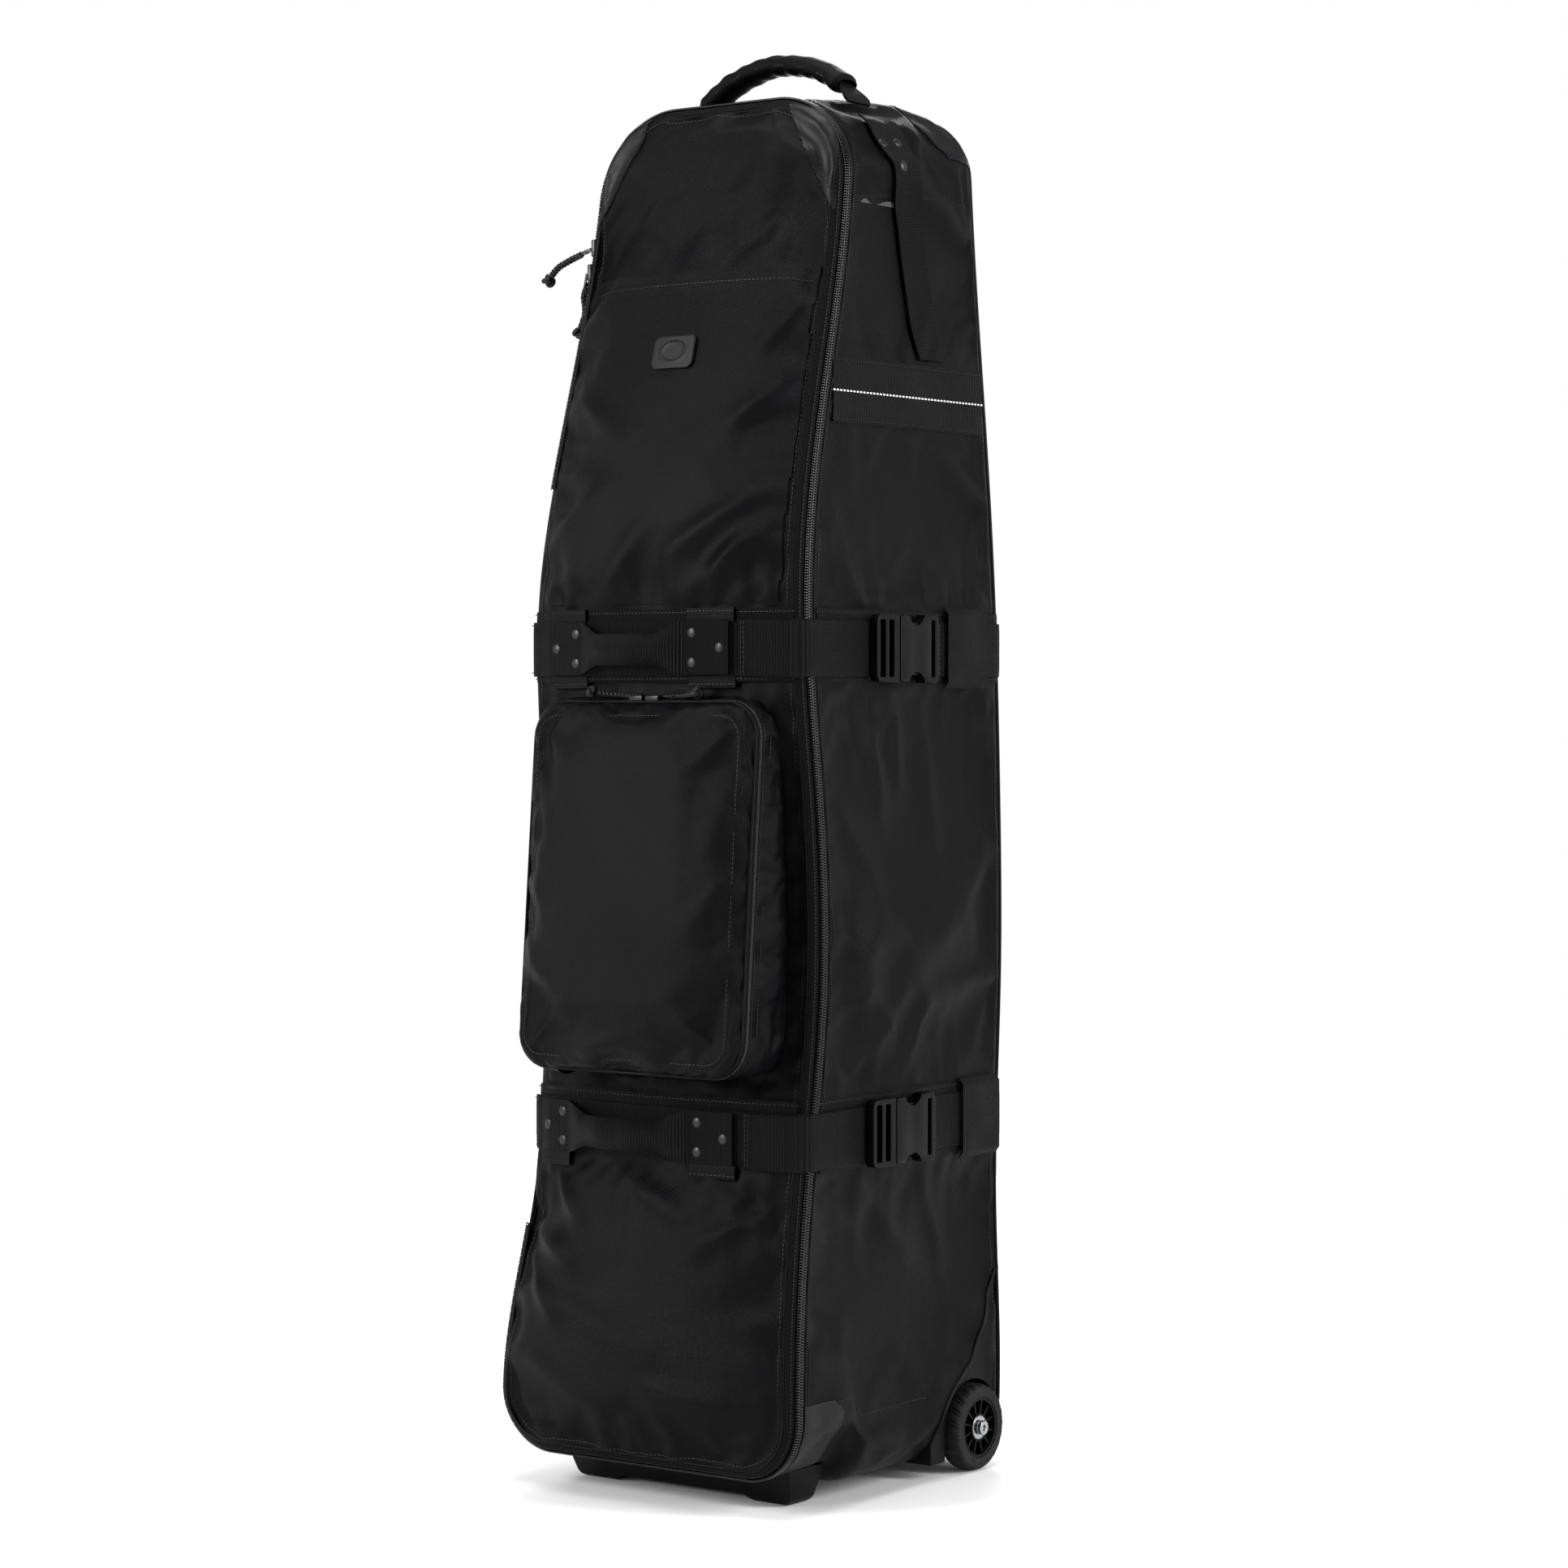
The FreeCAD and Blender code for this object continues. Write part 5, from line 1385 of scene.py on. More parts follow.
def build_grips():
    """Webbing grips: flat riveted patches at both ends, folded narrow and standing off between them."""
    heads = []
    for name, s in STRAPS.items():
        z, (x0, x1) = s["belt_z"], s["grip"]
        left, right = s["patch_left"][0] + 0.002, s["patch_right"][1] - 0.002

        def surface(a, b):
            x = mix(left, right, (b + 1) / 2)
            t = np.clip((x - x0) / (x1 - x0), 0, 1)
            lift = np.sin(math.pi * t) ** 0.75
            narrow = ease(t / 0.22) * ease((1 - t) / 0.22)
            half = mix(0.0232, 0.0125, narrow)
            y = front_y(x, z) - TAIL_OUT - 0.0022 - GRIP_RISE * lift
            y = y + narrow * 0.0052 * np.abs(a) ** 2.2 + 0.0005 * np.sin(x * 160) * narrow
            return np.stack([x, y, z + half * a - 0.0015 * narrow * lift], 1)

        def folded_edges(a, b):
            """The webbing's own edges, folded in behind the middle of the grip."""
            start, end = ((x - left) / (right - left) for x in (x0 + 0.02, x1 - 0.02))
            p = surface(a * 0.8, mix(start, end, (b + 1) / 2) * 2 - 1)
            return np.stack([p[:, 0], p[:, 1] + 0.0036, p[:, 2] * 0.6 + z * 0.4], 1)

        piece = thicken(grid("grip", 16, 84, surface, (0.047, right - left)), 0.0022)
        inner = thicken(grid("grip_fold", 10, 60, folded_edges, (0.02, x1 - x0)), 0.0018)
        hand_over(join([piece, inner], f"{name}_grip"), "front_panel", "webbing", f"{name}_lift_handle")

        for low, high, near, far in ((left, x0, x0 - 0.008, left + 0.009),
                                     (x1, right, x1 + 0.009, right - 0.010)):
            x0_in, x1_in, half = low + 0.003, high - 0.003, 0.0195
            corners = [(x0_in, -half), (x1_in, -half), (x1_in, half), (x0_in, half)]
            for (xa, za), (xb, zb) in zip(corners, corners[1:] + corners[:1]):
                x, dz = np.linspace(xa, xb, 14), np.linspace(za, zb, 14)
                seam = np.stack([x, front_y(x, z) - TAIL_OUT - 0.0026, z + dz], 1)
                sew("front_panel", seam, np.tile([0, -1.0, 0], (14, 1)))
            for x, dz in ((near, 0.013), (near, -0.013), (far, 0.0)):
                heads.append(((x, float(front_y(x, z)) - TAIL_OUT - 0.0023, z + dz), (0, -1.0, 0)))
    rivets("grip_rivets", "front_panel", heads, "panel_rivets")


def build_buckles():
    """Side-release buckles with rounded edges, on the frame's shapes."""
    for name in STRAPS:
        for part, body, width in (("socket", "case", 0.0016), ("ladder", "front_panel", 0.0012),
                                  ("upper_arm", f"{name}_upper_arm", 0.0008),
                                  ("lower_arm", f"{name}_lower_arm", 0.0008)):
            node_name = f"{name}_buckle_{part}"
            piece = rounded_copy(node_name, f"{name}_{part}_moulding", width, 3)
            hand_over(piece, body, "buckle", node_name, crease=35)


# ---------------------------------------------------------------- front pocket

def pocket_y(z):
    """The pocket's face plane, which leans out towards the bottom."""
    return mix(POCKET_SLANT[0], POCKET_SLANT[1], (z - POCKET_Z[0]) / (POCKET_Z[1] - POCKET_Z[0]))


def pocket_outline(t, out=0.0):
    """Points x, z and normals once round the pocket's outline, for t from 0 to 1."""
    (x0, x1), (z0, z1), r = POCKET_X, POCKET_Z, POCKET_R
    runs = [x1 - x0 - 2 * r, r * math.pi / 2, z1 - z0 - 2 * r, r * math.pi / 2] * 2
    ends = np.cumsum([0] + runs)
    at = np.mod(t, 1.0) * ends[-1]
    i = np.clip(np.searchsorted(ends, at, side="right") - 1, 0, 7)
    over = at - ends[i]
    corners = np.array([(x0 + r, z0, 0, -1), (x1 - r, z0 + r, 0, -1),
                        (x1, z0 + r, 1, 0), (x1 - r, z1 - r, 1, 0),
                        (x1 - r, z1, 0, 1), (x0 + r, z1 - r, 0, 1),
                        (x0, z1 - r, -1, 0), (x0 + r, z0 + r, -1, 0)])
    base, n = corners[i, :2], corners[i, 2:]
    turn = over / r
    turned = np.stack([n[:, 0] * np.cos(turn) - n[:, 1] * np.sin(turn),
                       n[:, 0] * np.sin(turn) + n[:, 1] * np.cos(turn)], 1)
    straight = (i % 2 == 0)[:, None]
    ahead = np.stack([-n[:, 1], n[:, 0]], 1)
    p = np.where(straight, base + ahead * over[:, None], base + turned * r)
    n = np.where(straight, n, turned)
    p = p + n * out
    return p[:, 0], p[:, 1], n[:, 0], n[:, 1]


# Creases of the pocket's face, as (start, end, height, width) with each end's x and z.
POCKET_FOLDS = [
    ((-0.10, 0.690), (-0.06, 0.60), 0.0030, 0.014),
    ((0.03, 0.695), (0.07, 0.62), 0.0026, 0.012),
    ((-0.115, 0.60), (-0.09, 0.52), 0.0028, 0.012),
    ((-0.115, 0.50), (-0.07, 0.44), 0.0030, 0.014),
    ((0.115, 0.46), (0.06, 0.41), 0.0030, 0.014),
    ((0.112, 0.56), (0.07, 0.50), 0.0024, 0.012),
    ((-0.06, 0.395), (0.02, 0.415), 0.0026, 0.012),
]


def build_pocket():
    """Puffed face, soft gusset and coil zip of the front pocket."""
    def face(a, b):
        x, z, depth, inside = soft_edge(a, b, lambda h: 0 * h + POCKET_HALF, *POCKET_Z, POCKET_R, POCKET_R,
                                        0.0022, 0.0085)
        low = (POCKET_Z[1] - z) / (POCKET_Z[1] - POCKET_Z[0])
        puff = 0.004 + 0.007 * low
        y = pocket_y(z) + 0.0075 - depth - puff * ease(inside / 0.07)
        return np.stack([x + POCKET_MIDDLE, y, z], 1)

    piece = grid("pocket_cover", 66, 84, face, (0.27, 0.35))
    co = points(piece)
    edge = co[:, 1] > pocket_y(co[:, 2]) + 0.0045
    settle(piece, edge, 0.035, 1.4, 0.009)
    co = points(piece)
    inside = ease(-(co[:, 1] - pocket_y(co[:, 2]) - 0.002) / 0.006)
    co[:, 1] -= sum(fold(co[:, [0, 2]], *crease) for crease in POCKET_FOLDS) * inside
    move_points(piece, co)
    modify(piece, "SUBSURF", levels=1, render_levels=1)
    thicken(piece, POCKET_CLOTH)
    hand_over(piece, "pocket_flap", "fabric", "pocket_face", crease=60)

    def gusset(a, b):
        t, v = (a + 1) / 2, (b + 1) / 2
        x, z, nx, nz = pocket_outline(t)
        start = pocket_y(z) + 0.0165
        end = front_y(x, z) + 0.0012
        swell = 0.003 * np.sin(math.pi * v) + 0.001 * np.sin(t * 40) * np.sin(math.pi * v)
        return np.stack([x + nx * swell, mix(start, np.maximum(end, start + 0.012), v), z + nz * swell], 1)

    piece = weld(grid("pocket_wall", 260, 12, gusset, (POCKET_ROUND, 0.05)))
    co = points(piece)
    held = (co[:, 1] < pocket_y(co[:, 2]) + 0.018) | (co[:, 1] > front_y(co[:, 0], co[:, 2]) - 0.0015)
    settle(piece, held, 0.05, 0.6, 0.006)
    modify(piece, "SUBSURF", levels=1, render_levels=1)
    thicken(piece, POCKET_CLOTH)
    hand_over(piece, "front_panel", "fabric", "pocket_gusset", crease=60)

    t = np.linspace(0, 1, POCKET_STEPS)
    x, z, nx, nz = pocket_outline(t, 0.0016)
    normals = np.stack([nx, 0 * nx, nz], 1)
    zero = pocket_y(z) + 0.0105

    def tape(name, low, high):
        def surface(a, b):
            row = row_at(b, POCKET_STEPS)
            y = zero[row] + mix(low, high, (a + 1) / 2)
            return np.stack([x[row] - nx[row] * 0.0008, y, z[row] - nz[row] * 0.0008], 1)
        piece = weld(grid(name, 4, POCKET_STEPS - 1, surface, (0.008, POCKET_ROUND)), 1e-6)
        return thicken(flip(piece), 0.0007)

    hand_over(tape("tape", 0.0003, 0.0075), "front_panel", "tape", "pocket_zip_chain")
    hand_over(tape("pocket_face_tape", -0.0055, -0.0003), "pocket_flap", "tape")
    path = np.stack([x, zero, z], 1)
    zip_row("pocket_wall_coil", "front_panel", path, normals, -1, 0.0030, 0.0017, 0.0016, 0.0)
    zip_row("pocket_face_coil", "pocket_flap", path, normals, 1, 0.0030, 0.0017, 0.0016, 0.5)
    for body, dy, lift, name in (("front_panel", 0.0085, 0.0004, "pocket_wall_piping"),
                                 ("pocket_flap", -0.0060, 0.0004, "pocket_face_piping")):
        line = np.stack([x - nx * 0.0012, zero + dy, z - nz * 0.0012], 1)
        hand_over(tube(name, line, normals, 0.0013, 8, closed=True), body, "piping")
    line = np.stack([x, zero + 0.0125, z], 1) + normals * 0.0006
    sew("front_panel", line, normals)
    line = np.stack([x, zero + 0.0050, z], 1) + normals * 0.0001
    sew("front_panel", line, normals, 0.0034, 0.0022)
    x, z, nx, nz = pocket_outline(t, -0.0115)
    sew("pocket_flap", np.stack([x, pocket_y(z) - 0.0052, z], 1), np.tile([0, -1.0, 0], (len(x), 1)))
    x, z, nx, nz = pocket_outline(t, 0.0015)
    line = np.stack([x, front_y(x, z) - 0.0012, z], 1)
    piece = tube("pocket_foot_piping", line, np.tile([0, -1.0, 0], (len(x), 1)), 0.0013, 8, closed=True)
    hand_over(piece, "front_panel", "piping")


# ---------------------------------------------------------------- side webbing and top handle

def build_side_webbing():
    """Load webbing down each side from the handle, its riveted patch, and the wide reflective bands."""
    runs, bands, heads = [], [], []

    def run_y(h):
        """y of the webbing's middle at outline share h."""
        return np.interp(outline(h)[1], SIDE_RUN[:, 0], SIDE_RUN[:, 1])

    for sign in (1, -1):
        def run(a, b):
            h = mix(side_share(1.0104) * 2, 0.925, (b + 1) / 2)
            out = 0.0026 + 0.0003 * np.sin(h * 90) - 0.0003 * a ** 6
            return wall_at(whole_share(h, sign), run_y(h) + a * 0.0192, out)[0]

        piece = grid("run", 8, 90, run, (0.038, 0.27))
        runs.append(drape(flip(piece) if sign > 0 else piece, "case", 0.0022, 0.0018))

        h = np.linspace(side_share(1.016) * 2, 0.915, 60)
        for side in (-1, 1):
            seam = wall_at(whole_share(h, sign), run_y(h) + side * 0.0165)[0]
            sew("case", *lay_on("case", seam, 0.0024))
        across = np.linspace(-0.016, 0.016, 12)
        for share in (0.895, 0.905, 0.915):
            seam = wall_at(0 * across + whole_share(share, sign), HANDLE_Y - 0.006 + across)[0]
            sew("case", *lay_on("case", seam, 0.0024))
        for share, dy in ((0.902, -0.016), (0.902, 0.004), (0.886, -0.004)):
            place = wall_at(np.array([whole_share(share, sign)]), np.array([HANDLE_Y + dy]))[0]
            place, normal = lay_on("case", place, 0.0023)
            heads.append((tuple(place[0]), tuple(normal[0])))

        s0 = length_at_side(REFLECTOR_Z, zip_y(REFLECTOR_Z) + 0.014)
        s1 = length_at_side(REFLECTOR_Z, back_y(REFLECTOR_Z) - BACK_ROLL - 0.001)
        where = (REFLECTOR_Z, REFLECTOR_HALF, sign * s0, sign * s1)
        bands.append(strap("band", *where, BAND_OUT, 0.0003, 3.0, rows=10))
        strap_stitches("case", *where, BAND_OUT + WEB + 0.0002)
        line = np.linspace(s0 + 0.001, s1 - 0.001, 60)
        p, n = round_case(REFLECTOR_Z - 0.001, sign * line, BAND_OUT + WEB + 0.0004)
        sew("case", p, n, 0.0050, 0.0026, 0.0006)
    hand_over(join(runs, "side_runs"), "case", "webbing", "side_webbing")
    hand_over(join(bands, "side_bands"), "case", "webbing", "reflective_bands")
    for s in STRAPS.values():
        z = s["belt_z"]
        beside = np.array([length_at_side(z, s["buckle_y"] + SOCKET + 0.009)])
        p, n = round_case(z, beside, BELT_OUT + WEB + 0.0002)
        for dz in (0.012, -0.012):
            heads.append(((p[0, 0], p[0, 1], z + dz), tuple(n[0])))
    rivets("case_rivet_heads", "case", heads, "case_rivets")


def build_top_handle():
    """Padded sleeve over a webbing arch, with its legs running down into the case's top seam."""
    def arch(t):
        """Points and upward normals for t from -1 to 1, a little higher on the right."""
        turn = np.radians(ARCH_ANGLE) * t
        lean = 0.0035 * t - 0.002 * t ** 2
        n = np.stack([np.sin(turn), 0 * t, np.cos(turn)], 1)
        z = ARCH_TOP - ARCH_R + ARCH_R * np.cos(turn) + lean
        return np.stack([ARCH_R * np.sin(turn), 0 * t + HANDLE_Y, z], 1), n

    def sleeve(a, b):
        t, turn = b, a * math.pi
        p, n = arch(t)
        ends = ease((1 - np.abs(t)) / 0.05)
        wide = mix(0.0128, 0.0143, ends) + 0.0008 * np.cos(t * 21) + 0.0012 * ease((np.abs(t) - 0.86) / 0.1)
        high = mix(0.0052, 0.0078, ends) + 0.0004 * np.sin(t * 29)
        crease = 0.00022 * np.sin(t * 31 + 2 * np.sin(turn)) + 0.00025 * np.sin(t * 11 + turn)
        p[:, 1] += (wide + crease) * np.sign(np.cos(turn)) * np.abs(np.cos(turn)) ** 0.85
        return p + n * ((high + crease) * np.sign(np.sin(turn)) * np.abs(np.sin(turn)) ** 0.85)[:, None]

    piece = grid("sleeve", 40, 110, sleeve, (0.075, 0.166))
    weld(piece, 1e-6)
    modify(piece, "SOLIDIFY", thickness=0.0016, offset=1)
    weld(piece, 1e-6, outwards=True)
    hand_over(piece, "top_handle", "sleeve", "handle_sleeve")
    t = np.linspace(-0.97, 0.97, 60)
    path, normals = arch(t)
    side = path + np.array([0, -0.0152, 0]) - normals * 0.0015
    sew("top_handle", side, np.tile([0, -1.0, 0], (60, 1)))

    def web(a, b):
        p, n = arch(b)
        p[:, 1] += a * 0.0105
        return p + n * 0.0012

    legs = [thicken(flip(grid("core", 6, 60, web, (0.021, 0.166))), 0.0024)]
    for sign in (1, -1):
        top, normal = arch(np.array([sign * 0.985]))
        top, low = top[0], np.array([sign * 0.0915, HANDLE_Y, HANDLE_LOW + 0.0002])

        def leg(a, b):
            v = (b + 1) / 2
            half = mix(0.012, 0.0188, ease(v * 1.3)) * (1 - 0.10 * ease((v - 0.75) / 0.25))
            p = np.outer(1 - v, top) + np.outer(v, low)
            p[:, 0] += sign * 0.0016 * np.sin(v * math.pi)
            p[:, 1] += a * half
            return p + np.array([sign * 0.0012, 0, 0])

        piece = grid("leg", 8, 14, leg, (0.036, 0.03))
        legs.append(thicken(flip(piece) if sign > 0 else piece, 0.0026))
    hand_over(join(legs, "handle_web"), "top_handle", "webbing", "handle_webbing")


# ---------------------------------------------------------------- wheels and mouldings

def build_wheels():
    """Grooved tyres, spoked hubs, bearings and bolts."""
    for side, sign in (("right", 1), ("left", -1)):
        x0, x1 = WHEEL_IN, WHEEL_IN + WHEEL_W
        profile = [(x0 + 0.0005, TYRE_BORE), (x0, 0.0292), (x0, SHOULDER_R)]
        profile += [(mix(x0, x1, 0.5 - 0.5 * math.cos(a)), SHOULDER_R + (TYRE_R - SHOULDER_R) * math.sin(a) ** 0.55)
                    for a in np.linspace(0.12, math.pi - 0.12, 25)]
        profile += [(x1, SHOULDER_R), (x1 - 0.0004, 0.0315), (x1, 0.0292), (x1 - 0.0005, TYRE_BORE),
                    (x0 + 0.0005, TYRE_BORE)]
        profile = np.array(profile)

        def tread(a, b):
            x, r = profile[row_at(b, len(profile))].T
            turn = a * math.pi
            across = (x - x0) / WHEEL_W
            wave = np.mod(turn / (2 * math.pi) * 22 + 0.9 * np.abs(across - 0.5), 1.0)
            groove = np.exp(-((wave - 0.3) / 0.07) ** 2) + np.exp(-((wave - 0.62) / 0.06) ** 2)
            groove = groove * ease((r - 0.0350) / 0.003) * (1 - 0.8 * np.exp(-((across - 0.5) / 0.06) ** 2))
            r = r - 0.0014 * groove
            return np.stack([sign * x, WHEEL_Y + r * np.sin(turn), WHEEL_Z + r * np.cos(turn)], 1)

        piece = grid(f"{side}_tread", 352, len(profile) - 1, tread, (0.25, 0.05))
        weld(piece, 2e-6, outwards=True)
        hand_over(piece, f"{side}_wheel", "tyre", f"{side}_tyre", crease=50)
        for part, name, finish in (("hub", "spoked_hub", "hub"), ("bearings", "bearing_rings", "steel")):
            piece = rounded_copy(f"{side}_{part}", f"{side}_{name}", 0.0004, 2)
            hand_over(piece, f"{side}_wheel", finish, f"{side}_{part}")
    hand_over(rounded_copy("axle_bolts", "axle_bolt_heads", 0.0007, 3), "case", "steel", "axle_bolts")


def build_mouldings():
    """Moulded wheel housings and the foot bar, with rounded edges."""
    for side in ("left", "right"):
        piece = rounded_copy(f"{side}_wheel_housing", f"{side}_housing_moulding", 0.0035, 4, angle=24)
        hand_over(piece, "case", "housing", f"{side}_wheel_housing", crease=30)
    piece = rounded_copy("foot_bar", "foot_moulding", 0.0022, 3, angle=24)
    hand_over(piece, "case", "housing", "foot_bar", crease=30)


def build_stitching():
    """All the stitches that the other steps have placed, one piece for each body and thread."""
    for (body, length, radius), rows in STITCHES.items():
        bpy.ops.object.select_all(action="DESELECT")
        bpy.ops.mesh.primitive_cylinder_add(vertices=5, radius=1, depth=2, rotation=(0, math.pi / 2, 0))
        bpy.ops.object.transform_apply(location=False, rotation=True, scale=True)
        model = bpy.context.object
        move_points(model, points(model) * np.array([length / 2, radius * 1.4, radius]))
        origins = np.concatenate([p for p, _ in rows])
        axes = np.concatenate([axes for _, axes in rows])
        white = radius > 0.0005
        name = f"{body}_{'white' if white else 'dark'}_stitches_{int(length * 1e5)}"
        hand_over(copies(name, model, origins, axes), body, "white_thread" if white else "thread", crease=70)


# ---------------------------------------------------------------- stage

FLOOR_SIZE = 4
WHITE_BAND = (0.22, 0.45)   # heights on the sky's unit sphere between which its white fades out


def build_stage(stage):
    """Pale floor, soft studio light and the camera."""
    bpy.ops.object.select_all(action="DESELECT")
    bpy.ops.mesh.primitive_plane_add(size=FLOOR_SIZE)
    floor = bpy.context.object
    floor.name = "floor"
    material = bpy.data.materials.new("floor")
    material.use_nodes = True
    shader = material.node_tree.nodes["Principled BSDF"]
    shader.inputs["Base Color"].default_value = (*stage.floor_colour, 1)
    shader.inputs["Roughness"].default_value = 0.9
    shader.inputs["Specular IOR Level"].default_value = 0.1
    floor.data.materials.append(material)

    world = bpy.data.worlds.new("studio")
    world.use_nodes = True
    tree = world.node_tree
    direction = tree.nodes.new("ShaderNodeTexCoord")
    height = tree.nodes.new("ShaderNodeSeparateXYZ")
    size = tree.nodes.new("ShaderNodeMath")
    size.operation = "ABSOLUTE"
    band = tree.nodes.new("ShaderNodeMapRange")
    band.inputs["From Min"].default_value, band.inputs["From Max"].default_value = WHITE_BAND
    band.inputs["To Min"].default_value, band.inputs["To Max"].default_value = 1.0, stage.world_strength
    tree.links.new(direction.outputs["Generated"], height.inputs[0])
    tree.links.new(height.outputs["Z"], size.inputs[0])
    tree.links.new(size.outputs[0], band.inputs["Value"])
    tree.links.new(band.outputs["Result"], tree.nodes["Background"].inputs["Strength"])
    tree.nodes["Background"].inputs["Color"].default_value = (1, 1, 1, 1)
    bpy.context.scene.world = world
    bpy.context.scene.view_settings.view_transform = "Standard"

    lights = [("front_box", (-1.5, -3.0, 1.9), (1.1, 2.2), stage.key_power),
              ("side_box", (3.2, 0.9, 1.7), (0.9, 2.2), stage.key_power * 0.9),
              ("top_box", (0.2, -0.2, 3.2), (1.6, 1.6), stage.key_power * 0.5),
              ("back_box", (-1.6, 2.6, 1.8), (1.2, 2.0), stage.key_power * 0.6)]
    for name, place, (wide, high), power in lights:
        light = bpy.data.lights.new(name, "AREA")
        light.shape = "RECTANGLE"
        light.size, light.size_y = wide, high
        light.energy = power
        lamp = bpy.data.objects.new(name, light)
        lamp.location = place
        lamp.rotation_euler = (Vector((0, 0, 0.7)) - Vector(place)).to_track_quat("-Z", "Y").to_euler()
        bpy.context.scene.collection.objects.link(lamp)

    angle = math.radians(stage.azimuth)
    right = Vector((math.cos(angle), math.sin(angle), 0))
    ahead = Vector((-math.sin(angle), math.cos(angle), 0))
    data = bpy.data.cameras.new("camera")
    data.lens, data.sensor_width = stage.lens, 36.0
    data.clip_end = 100
    camera = bpy.data.objects.new("camera", data)
    camera.location = -ahead * stage.distance + Vector((0, 0, stage.eye_height))
    look = ahead + right * stage.turn_right - Vector((0, 0, stage.tilt_down))
    camera.rotation_euler = look.to_track_quat("-Z", "Y").to_euler()
    bpy.context.scene.collection.objects.link(camera)
    bpy.context.scene.camera = camera


# ---------------------------------------------------------------- settings, operators and panel

class CaseSettings(bpy.types.PropertyGroup):
    """Colours and textile scales of the case."""
    fabric_colour: FloatVectorProperty(name="Fabric", description="Colour of the twill", subtype="COLOR",
                                       size=3, default=(0.0012, 0.0011, 0.0016), min=0, max=1)
    webbing_colour: FloatVectorProperty(name="Webbing", description="Colour of the straps", subtype="COLOR",
                                        size=3, default=(0.0015, 0.0015, 0.0016), min=0, max=1)
    coating_colour: FloatVectorProperty(name="Coated patches", description="Colour of the corner patches",
                                        subtype="COLOR", size=3, default=(0.0030, 0.0032, 0.0038),
                                        min=0, max=1)
    plastic_colour: FloatVectorProperty(name="Mouldings", description="Colour of housings and foot bar",
                                        subtype="COLOR", size=3, default=(0.0014, 0.0015, 0.0017),
                                        min=0, max=1)
    weave: FloatProperty(name="Weave", description="Width of one diagonal line of the twill", default=0.0011,
                         min=0.0003, max=0.005, unit="LENGTH", precision=5)
    rib: FloatProperty(name="Rib", description="Width of one rib of the webbing", default=0.0026, min=0.0008,
                       max=0.008, unit="LENGTH", precision=5)


class StageSettings(bpy.types.PropertyGroup):
    """Floor, light and camera."""
    floor_colour: FloatVectorProperty(name="Floor", description="Colour of the floor", subtype="COLOR",
                                      size=3, default=(0.86, 0.86, 0.86), min=0, max=1)
    world_strength: FloatProperty(name="World light", description="Brightness away from the horizon",
                                  default=0.25, min=0)
    key_power: FloatProperty(name="Key light", description="Power of the main light", default=130.0, min=0,
                             unit="POWER")
    azimuth: FloatProperty(name="Azimuth", description="Camera's turn round the case, in degrees",
                           default=37.0)
    distance: FloatProperty(name="Distance", description="Camera's distance from the case's axis",
                            default=3.555, min=0.5, unit="LENGTH")
    eye_height: FloatProperty(name="Eye height", description="Camera's height", default=0.710, unit="LENGTH")
    turn_right: FloatProperty(name="Turn right", description="How far the view turns right, per metre ahead",
                              default=0.008625, precision=6)
    tilt_down: FloatProperty(name="Tilt down", description="How far the view tilts down, per metre ahead",
                             default=0.02208, precision=5)
    lens: FloatProperty(name="Lens", description="Focal length", default=89.44, min=10, unit="CAMERA")


class CASE_OT_shell(bpy.types.Operator):
    """Make the finishes, the fabric walls and the back"""
    bl_idname = "travel_case.shell"
    bl_label = "Case shell"

    def execute(self, context):
        make_finishes(context.scene.travel_case)
        build_shell()
        return {"FINISHED"}


class CASE_OT_front(bpy.types.Operator):
    """Make the front panel and what is sewn on its upper half"""
    bl_idname = "travel_case.front"
    bl_label = "Front panel"

    def execute(self, context):
        build_front()
        return {"FINISHED"}


class CASE_OT_patches(bpy.types.Operator):
    """Make the coated corner patches of the case"""
    bl_idname = "travel_case.patches"
    bl_label = "Corner patches"

    def execute(self, context):
        build_patches()
        return {"FINISHED"}


class CASE_OT_zip(bpy.types.Operator):
    """Make the main zip"""
    bl_idname = "travel_case.main_zip"
    bl_label = "Main zip"

    def execute(self, context):
        build_zip()
        return {"FINISHED"}


class CASE_OT_pulls(bpy.types.Operator):
    """Make the zip sliders, their pulls and their knotted cords"""
    bl_idname = "travel_case.pulls"
    bl_label = "Sliders and pulls"

    def execute(self, context):
        build_pulls()
        return {"FINISHED"}


class CASE_OT_straps(bpy.types.Operator):
    """Make the bands, belts and keepers"""
    bl_idname = "travel_case.straps"
    bl_label = "Straps"

    def execute(self, context):
        build_straps()
        return {"FINISHED"}


class CASE_OT_grips(bpy.types.Operator):
    """Make the lift handles and their rivets"""
    bl_idname = "travel_case.grips"
    bl_label = "Lift handles"

    def execute(self, context):
        build_grips()
        return {"FINISHED"}


class CASE_OT_buckles(bpy.types.Operator):
    """Make the buckles"""
    bl_idname = "travel_case.buckles"
    bl_label = "Buckles"

    def execute(self, context):
        build_buckles()
        return {"FINISHED"}


class CASE_OT_pocket(bpy.types.Operator):
    """Make the front pocket"""
    bl_idname = "travel_case.pocket"
    bl_label = "Front pocket"

    def execute(self, context):
        build_pocket()
        return {"FINISHED"}


class CASE_OT_side_webbing(bpy.types.Operator):
    """Make the side webbing, the reflective bands and the case's rivets"""
    bl_idname = "travel_case.side_webbing"
    bl_label = "Side webbing"

    def execute(self, context):
        build_side_webbing()
        return {"FINISHED"}


class CASE_OT_handle(bpy.types.Operator):
    """Make the top handle"""
    bl_idname = "travel_case.top_handle"
    bl_label = "Top handle"

    def execute(self, context):
        build_top_handle()
        return {"FINISHED"}


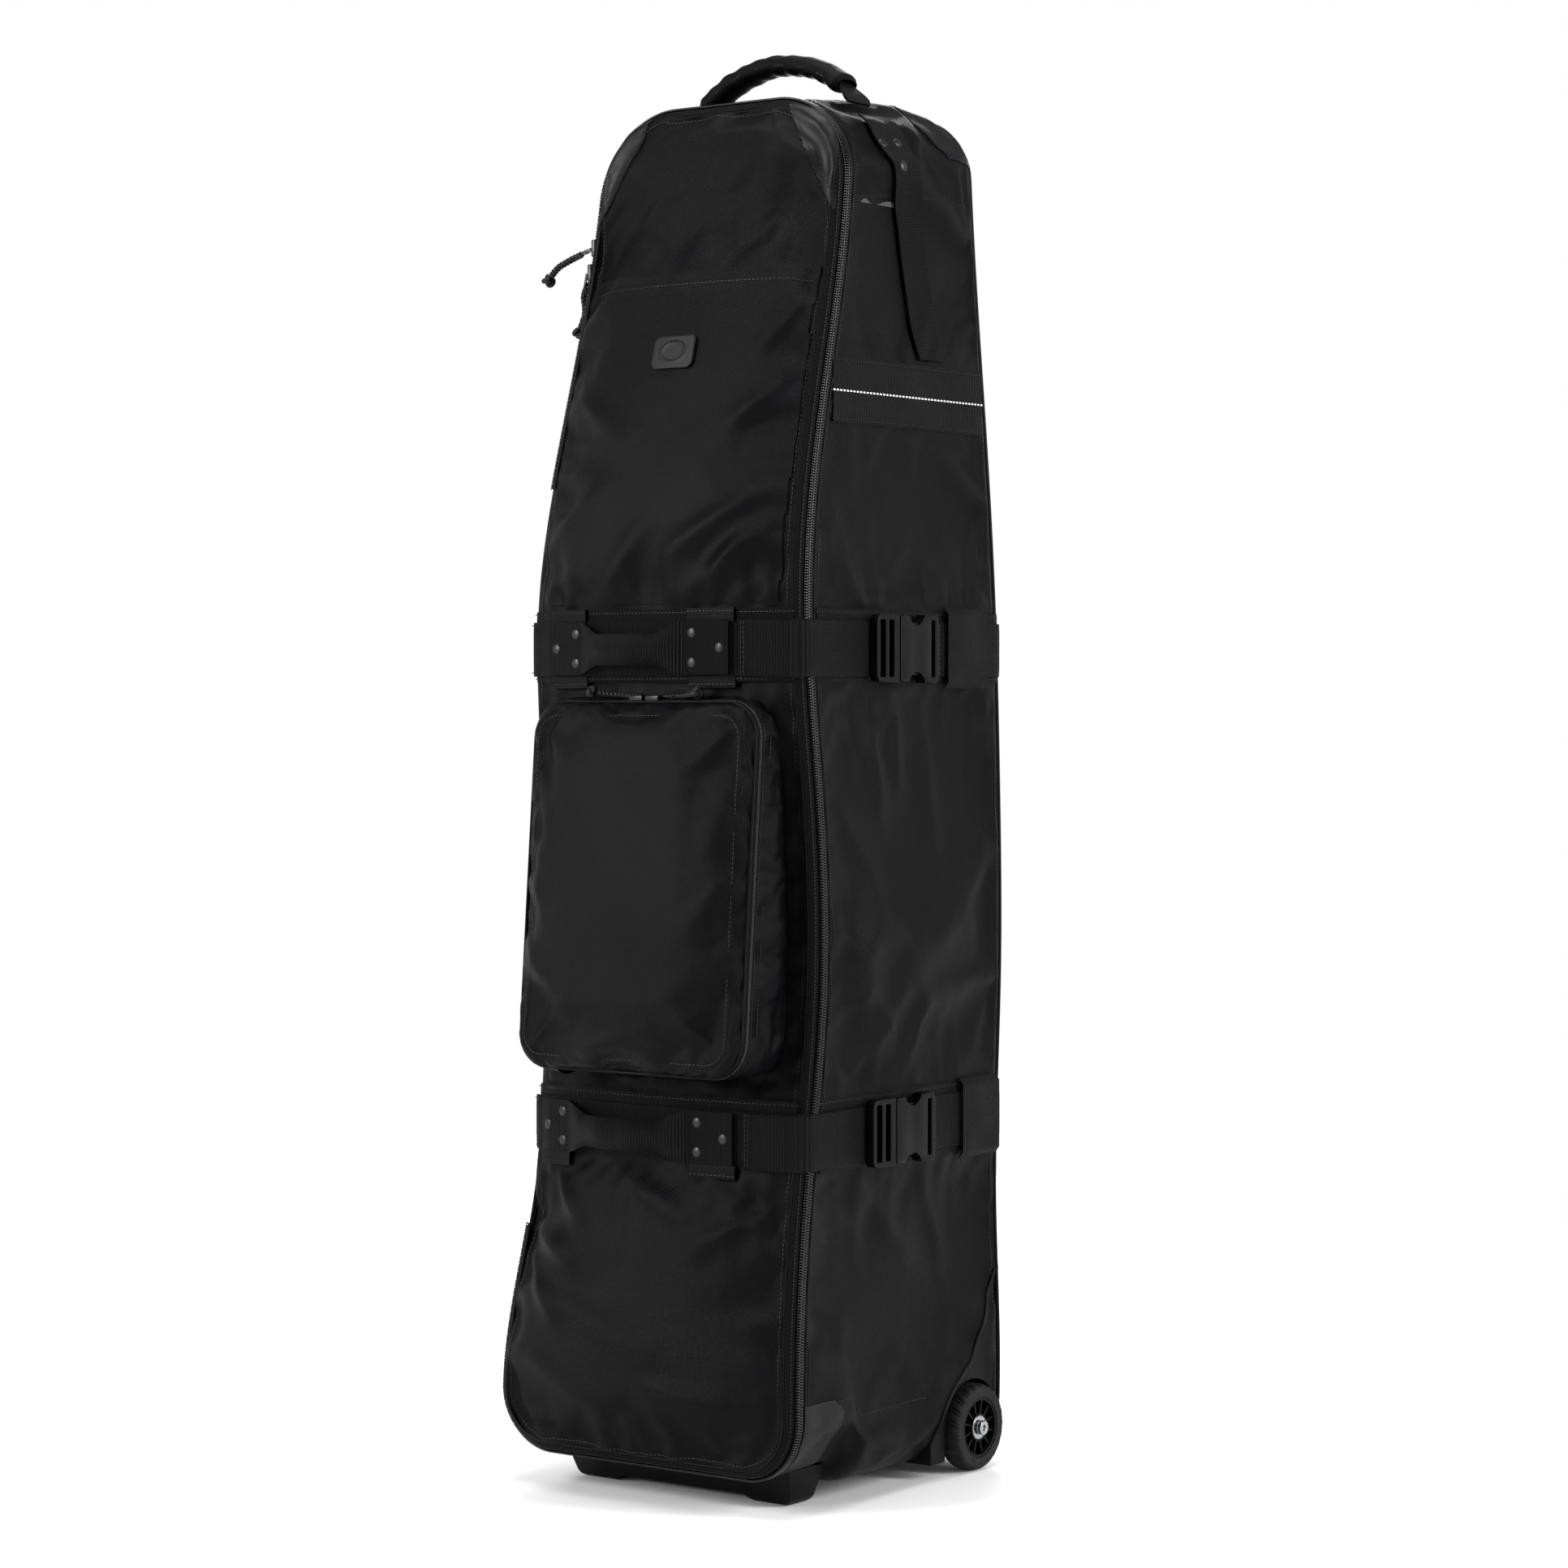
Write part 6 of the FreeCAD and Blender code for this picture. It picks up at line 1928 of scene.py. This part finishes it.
class CASE_OT_wheels(bpy.types.Operator):
    """Make the wheels"""
    bl_idname = "travel_case.wheels"
    bl_label = "Wheels"

    def execute(self, context):
        build_wheels()
        return {"FINISHED"}


class CASE_OT_mouldings(bpy.types.Operator):
    """Make the wheel housings and the foot bar"""
    bl_idname = "travel_case.mouldings"
    bl_label = "Housings and foot bar"

    def execute(self, context):
        build_mouldings()
        return {"FINISHED"}


class CASE_OT_stitching(bpy.types.Operator):
    """Make the stitches that the other steps have placed"""
    bl_idname = "travel_case.stitching"
    bl_label = "Stitching"

    def execute(self, context):
        build_stitching()
        return {"FINISHED"}


class CASE_OT_stage(bpy.types.Operator):
    """Make the floor, the lights and the camera"""
    bl_idname = "travel_case.stage"
    bl_label = "Stage"

    def execute(self, context):
        build_stage(context.scene.travel_case_stage)
        return {"FINISHED"}


STEPS = (CASE_OT_shell, CASE_OT_front, CASE_OT_patches, CASE_OT_zip, CASE_OT_pulls, CASE_OT_straps,
         CASE_OT_grips, CASE_OT_buckles, CASE_OT_pocket, CASE_OT_side_webbing, CASE_OT_handle, CASE_OT_wheels,
         CASE_OT_mouldings, CASE_OT_stitching, CASE_OT_stage)


class CASE_PT_panel(bpy.types.Panel):
    """Sizes, colours and steps of the travel case"""
    bl_idname = "CASE_PT_panel"
    bl_label = "Travel Case"
    bl_space_type = "VIEW_3D"
    bl_region_type = "UI"
    bl_category = "Travel Case"

    def draw(self, context):
        column = self.layout.column()
        for group in (context.scene.travel_case, context.scene.travel_case_stage):
            for key in group.__annotations__:
                column.prop(group, key)
        for step in STEPS:
            column.operator(step.bl_idname)


CLASSES = (CaseSettings, StageSettings, *STEPS, CASE_PT_panel)


def register():
    for made in CLASSES:
        bpy.utils.register_class(made)
    bpy.types.Scene.travel_case = PointerProperty(type=CaseSettings)
    bpy.types.Scene.travel_case_stage = PointerProperty(type=StageSettings)


def unregister():
    del bpy.types.Scene.travel_case_stage
    del bpy.types.Scene.travel_case
    for made in reversed(CLASSES):
        bpy.utils.unregister_class(made)


def main():
    register()
    for step in STEPS:
        group, name = step.bl_idname.split(".")
        getattr(getattr(bpy.ops, group), name)()


if __name__ == "__main__":
    main()
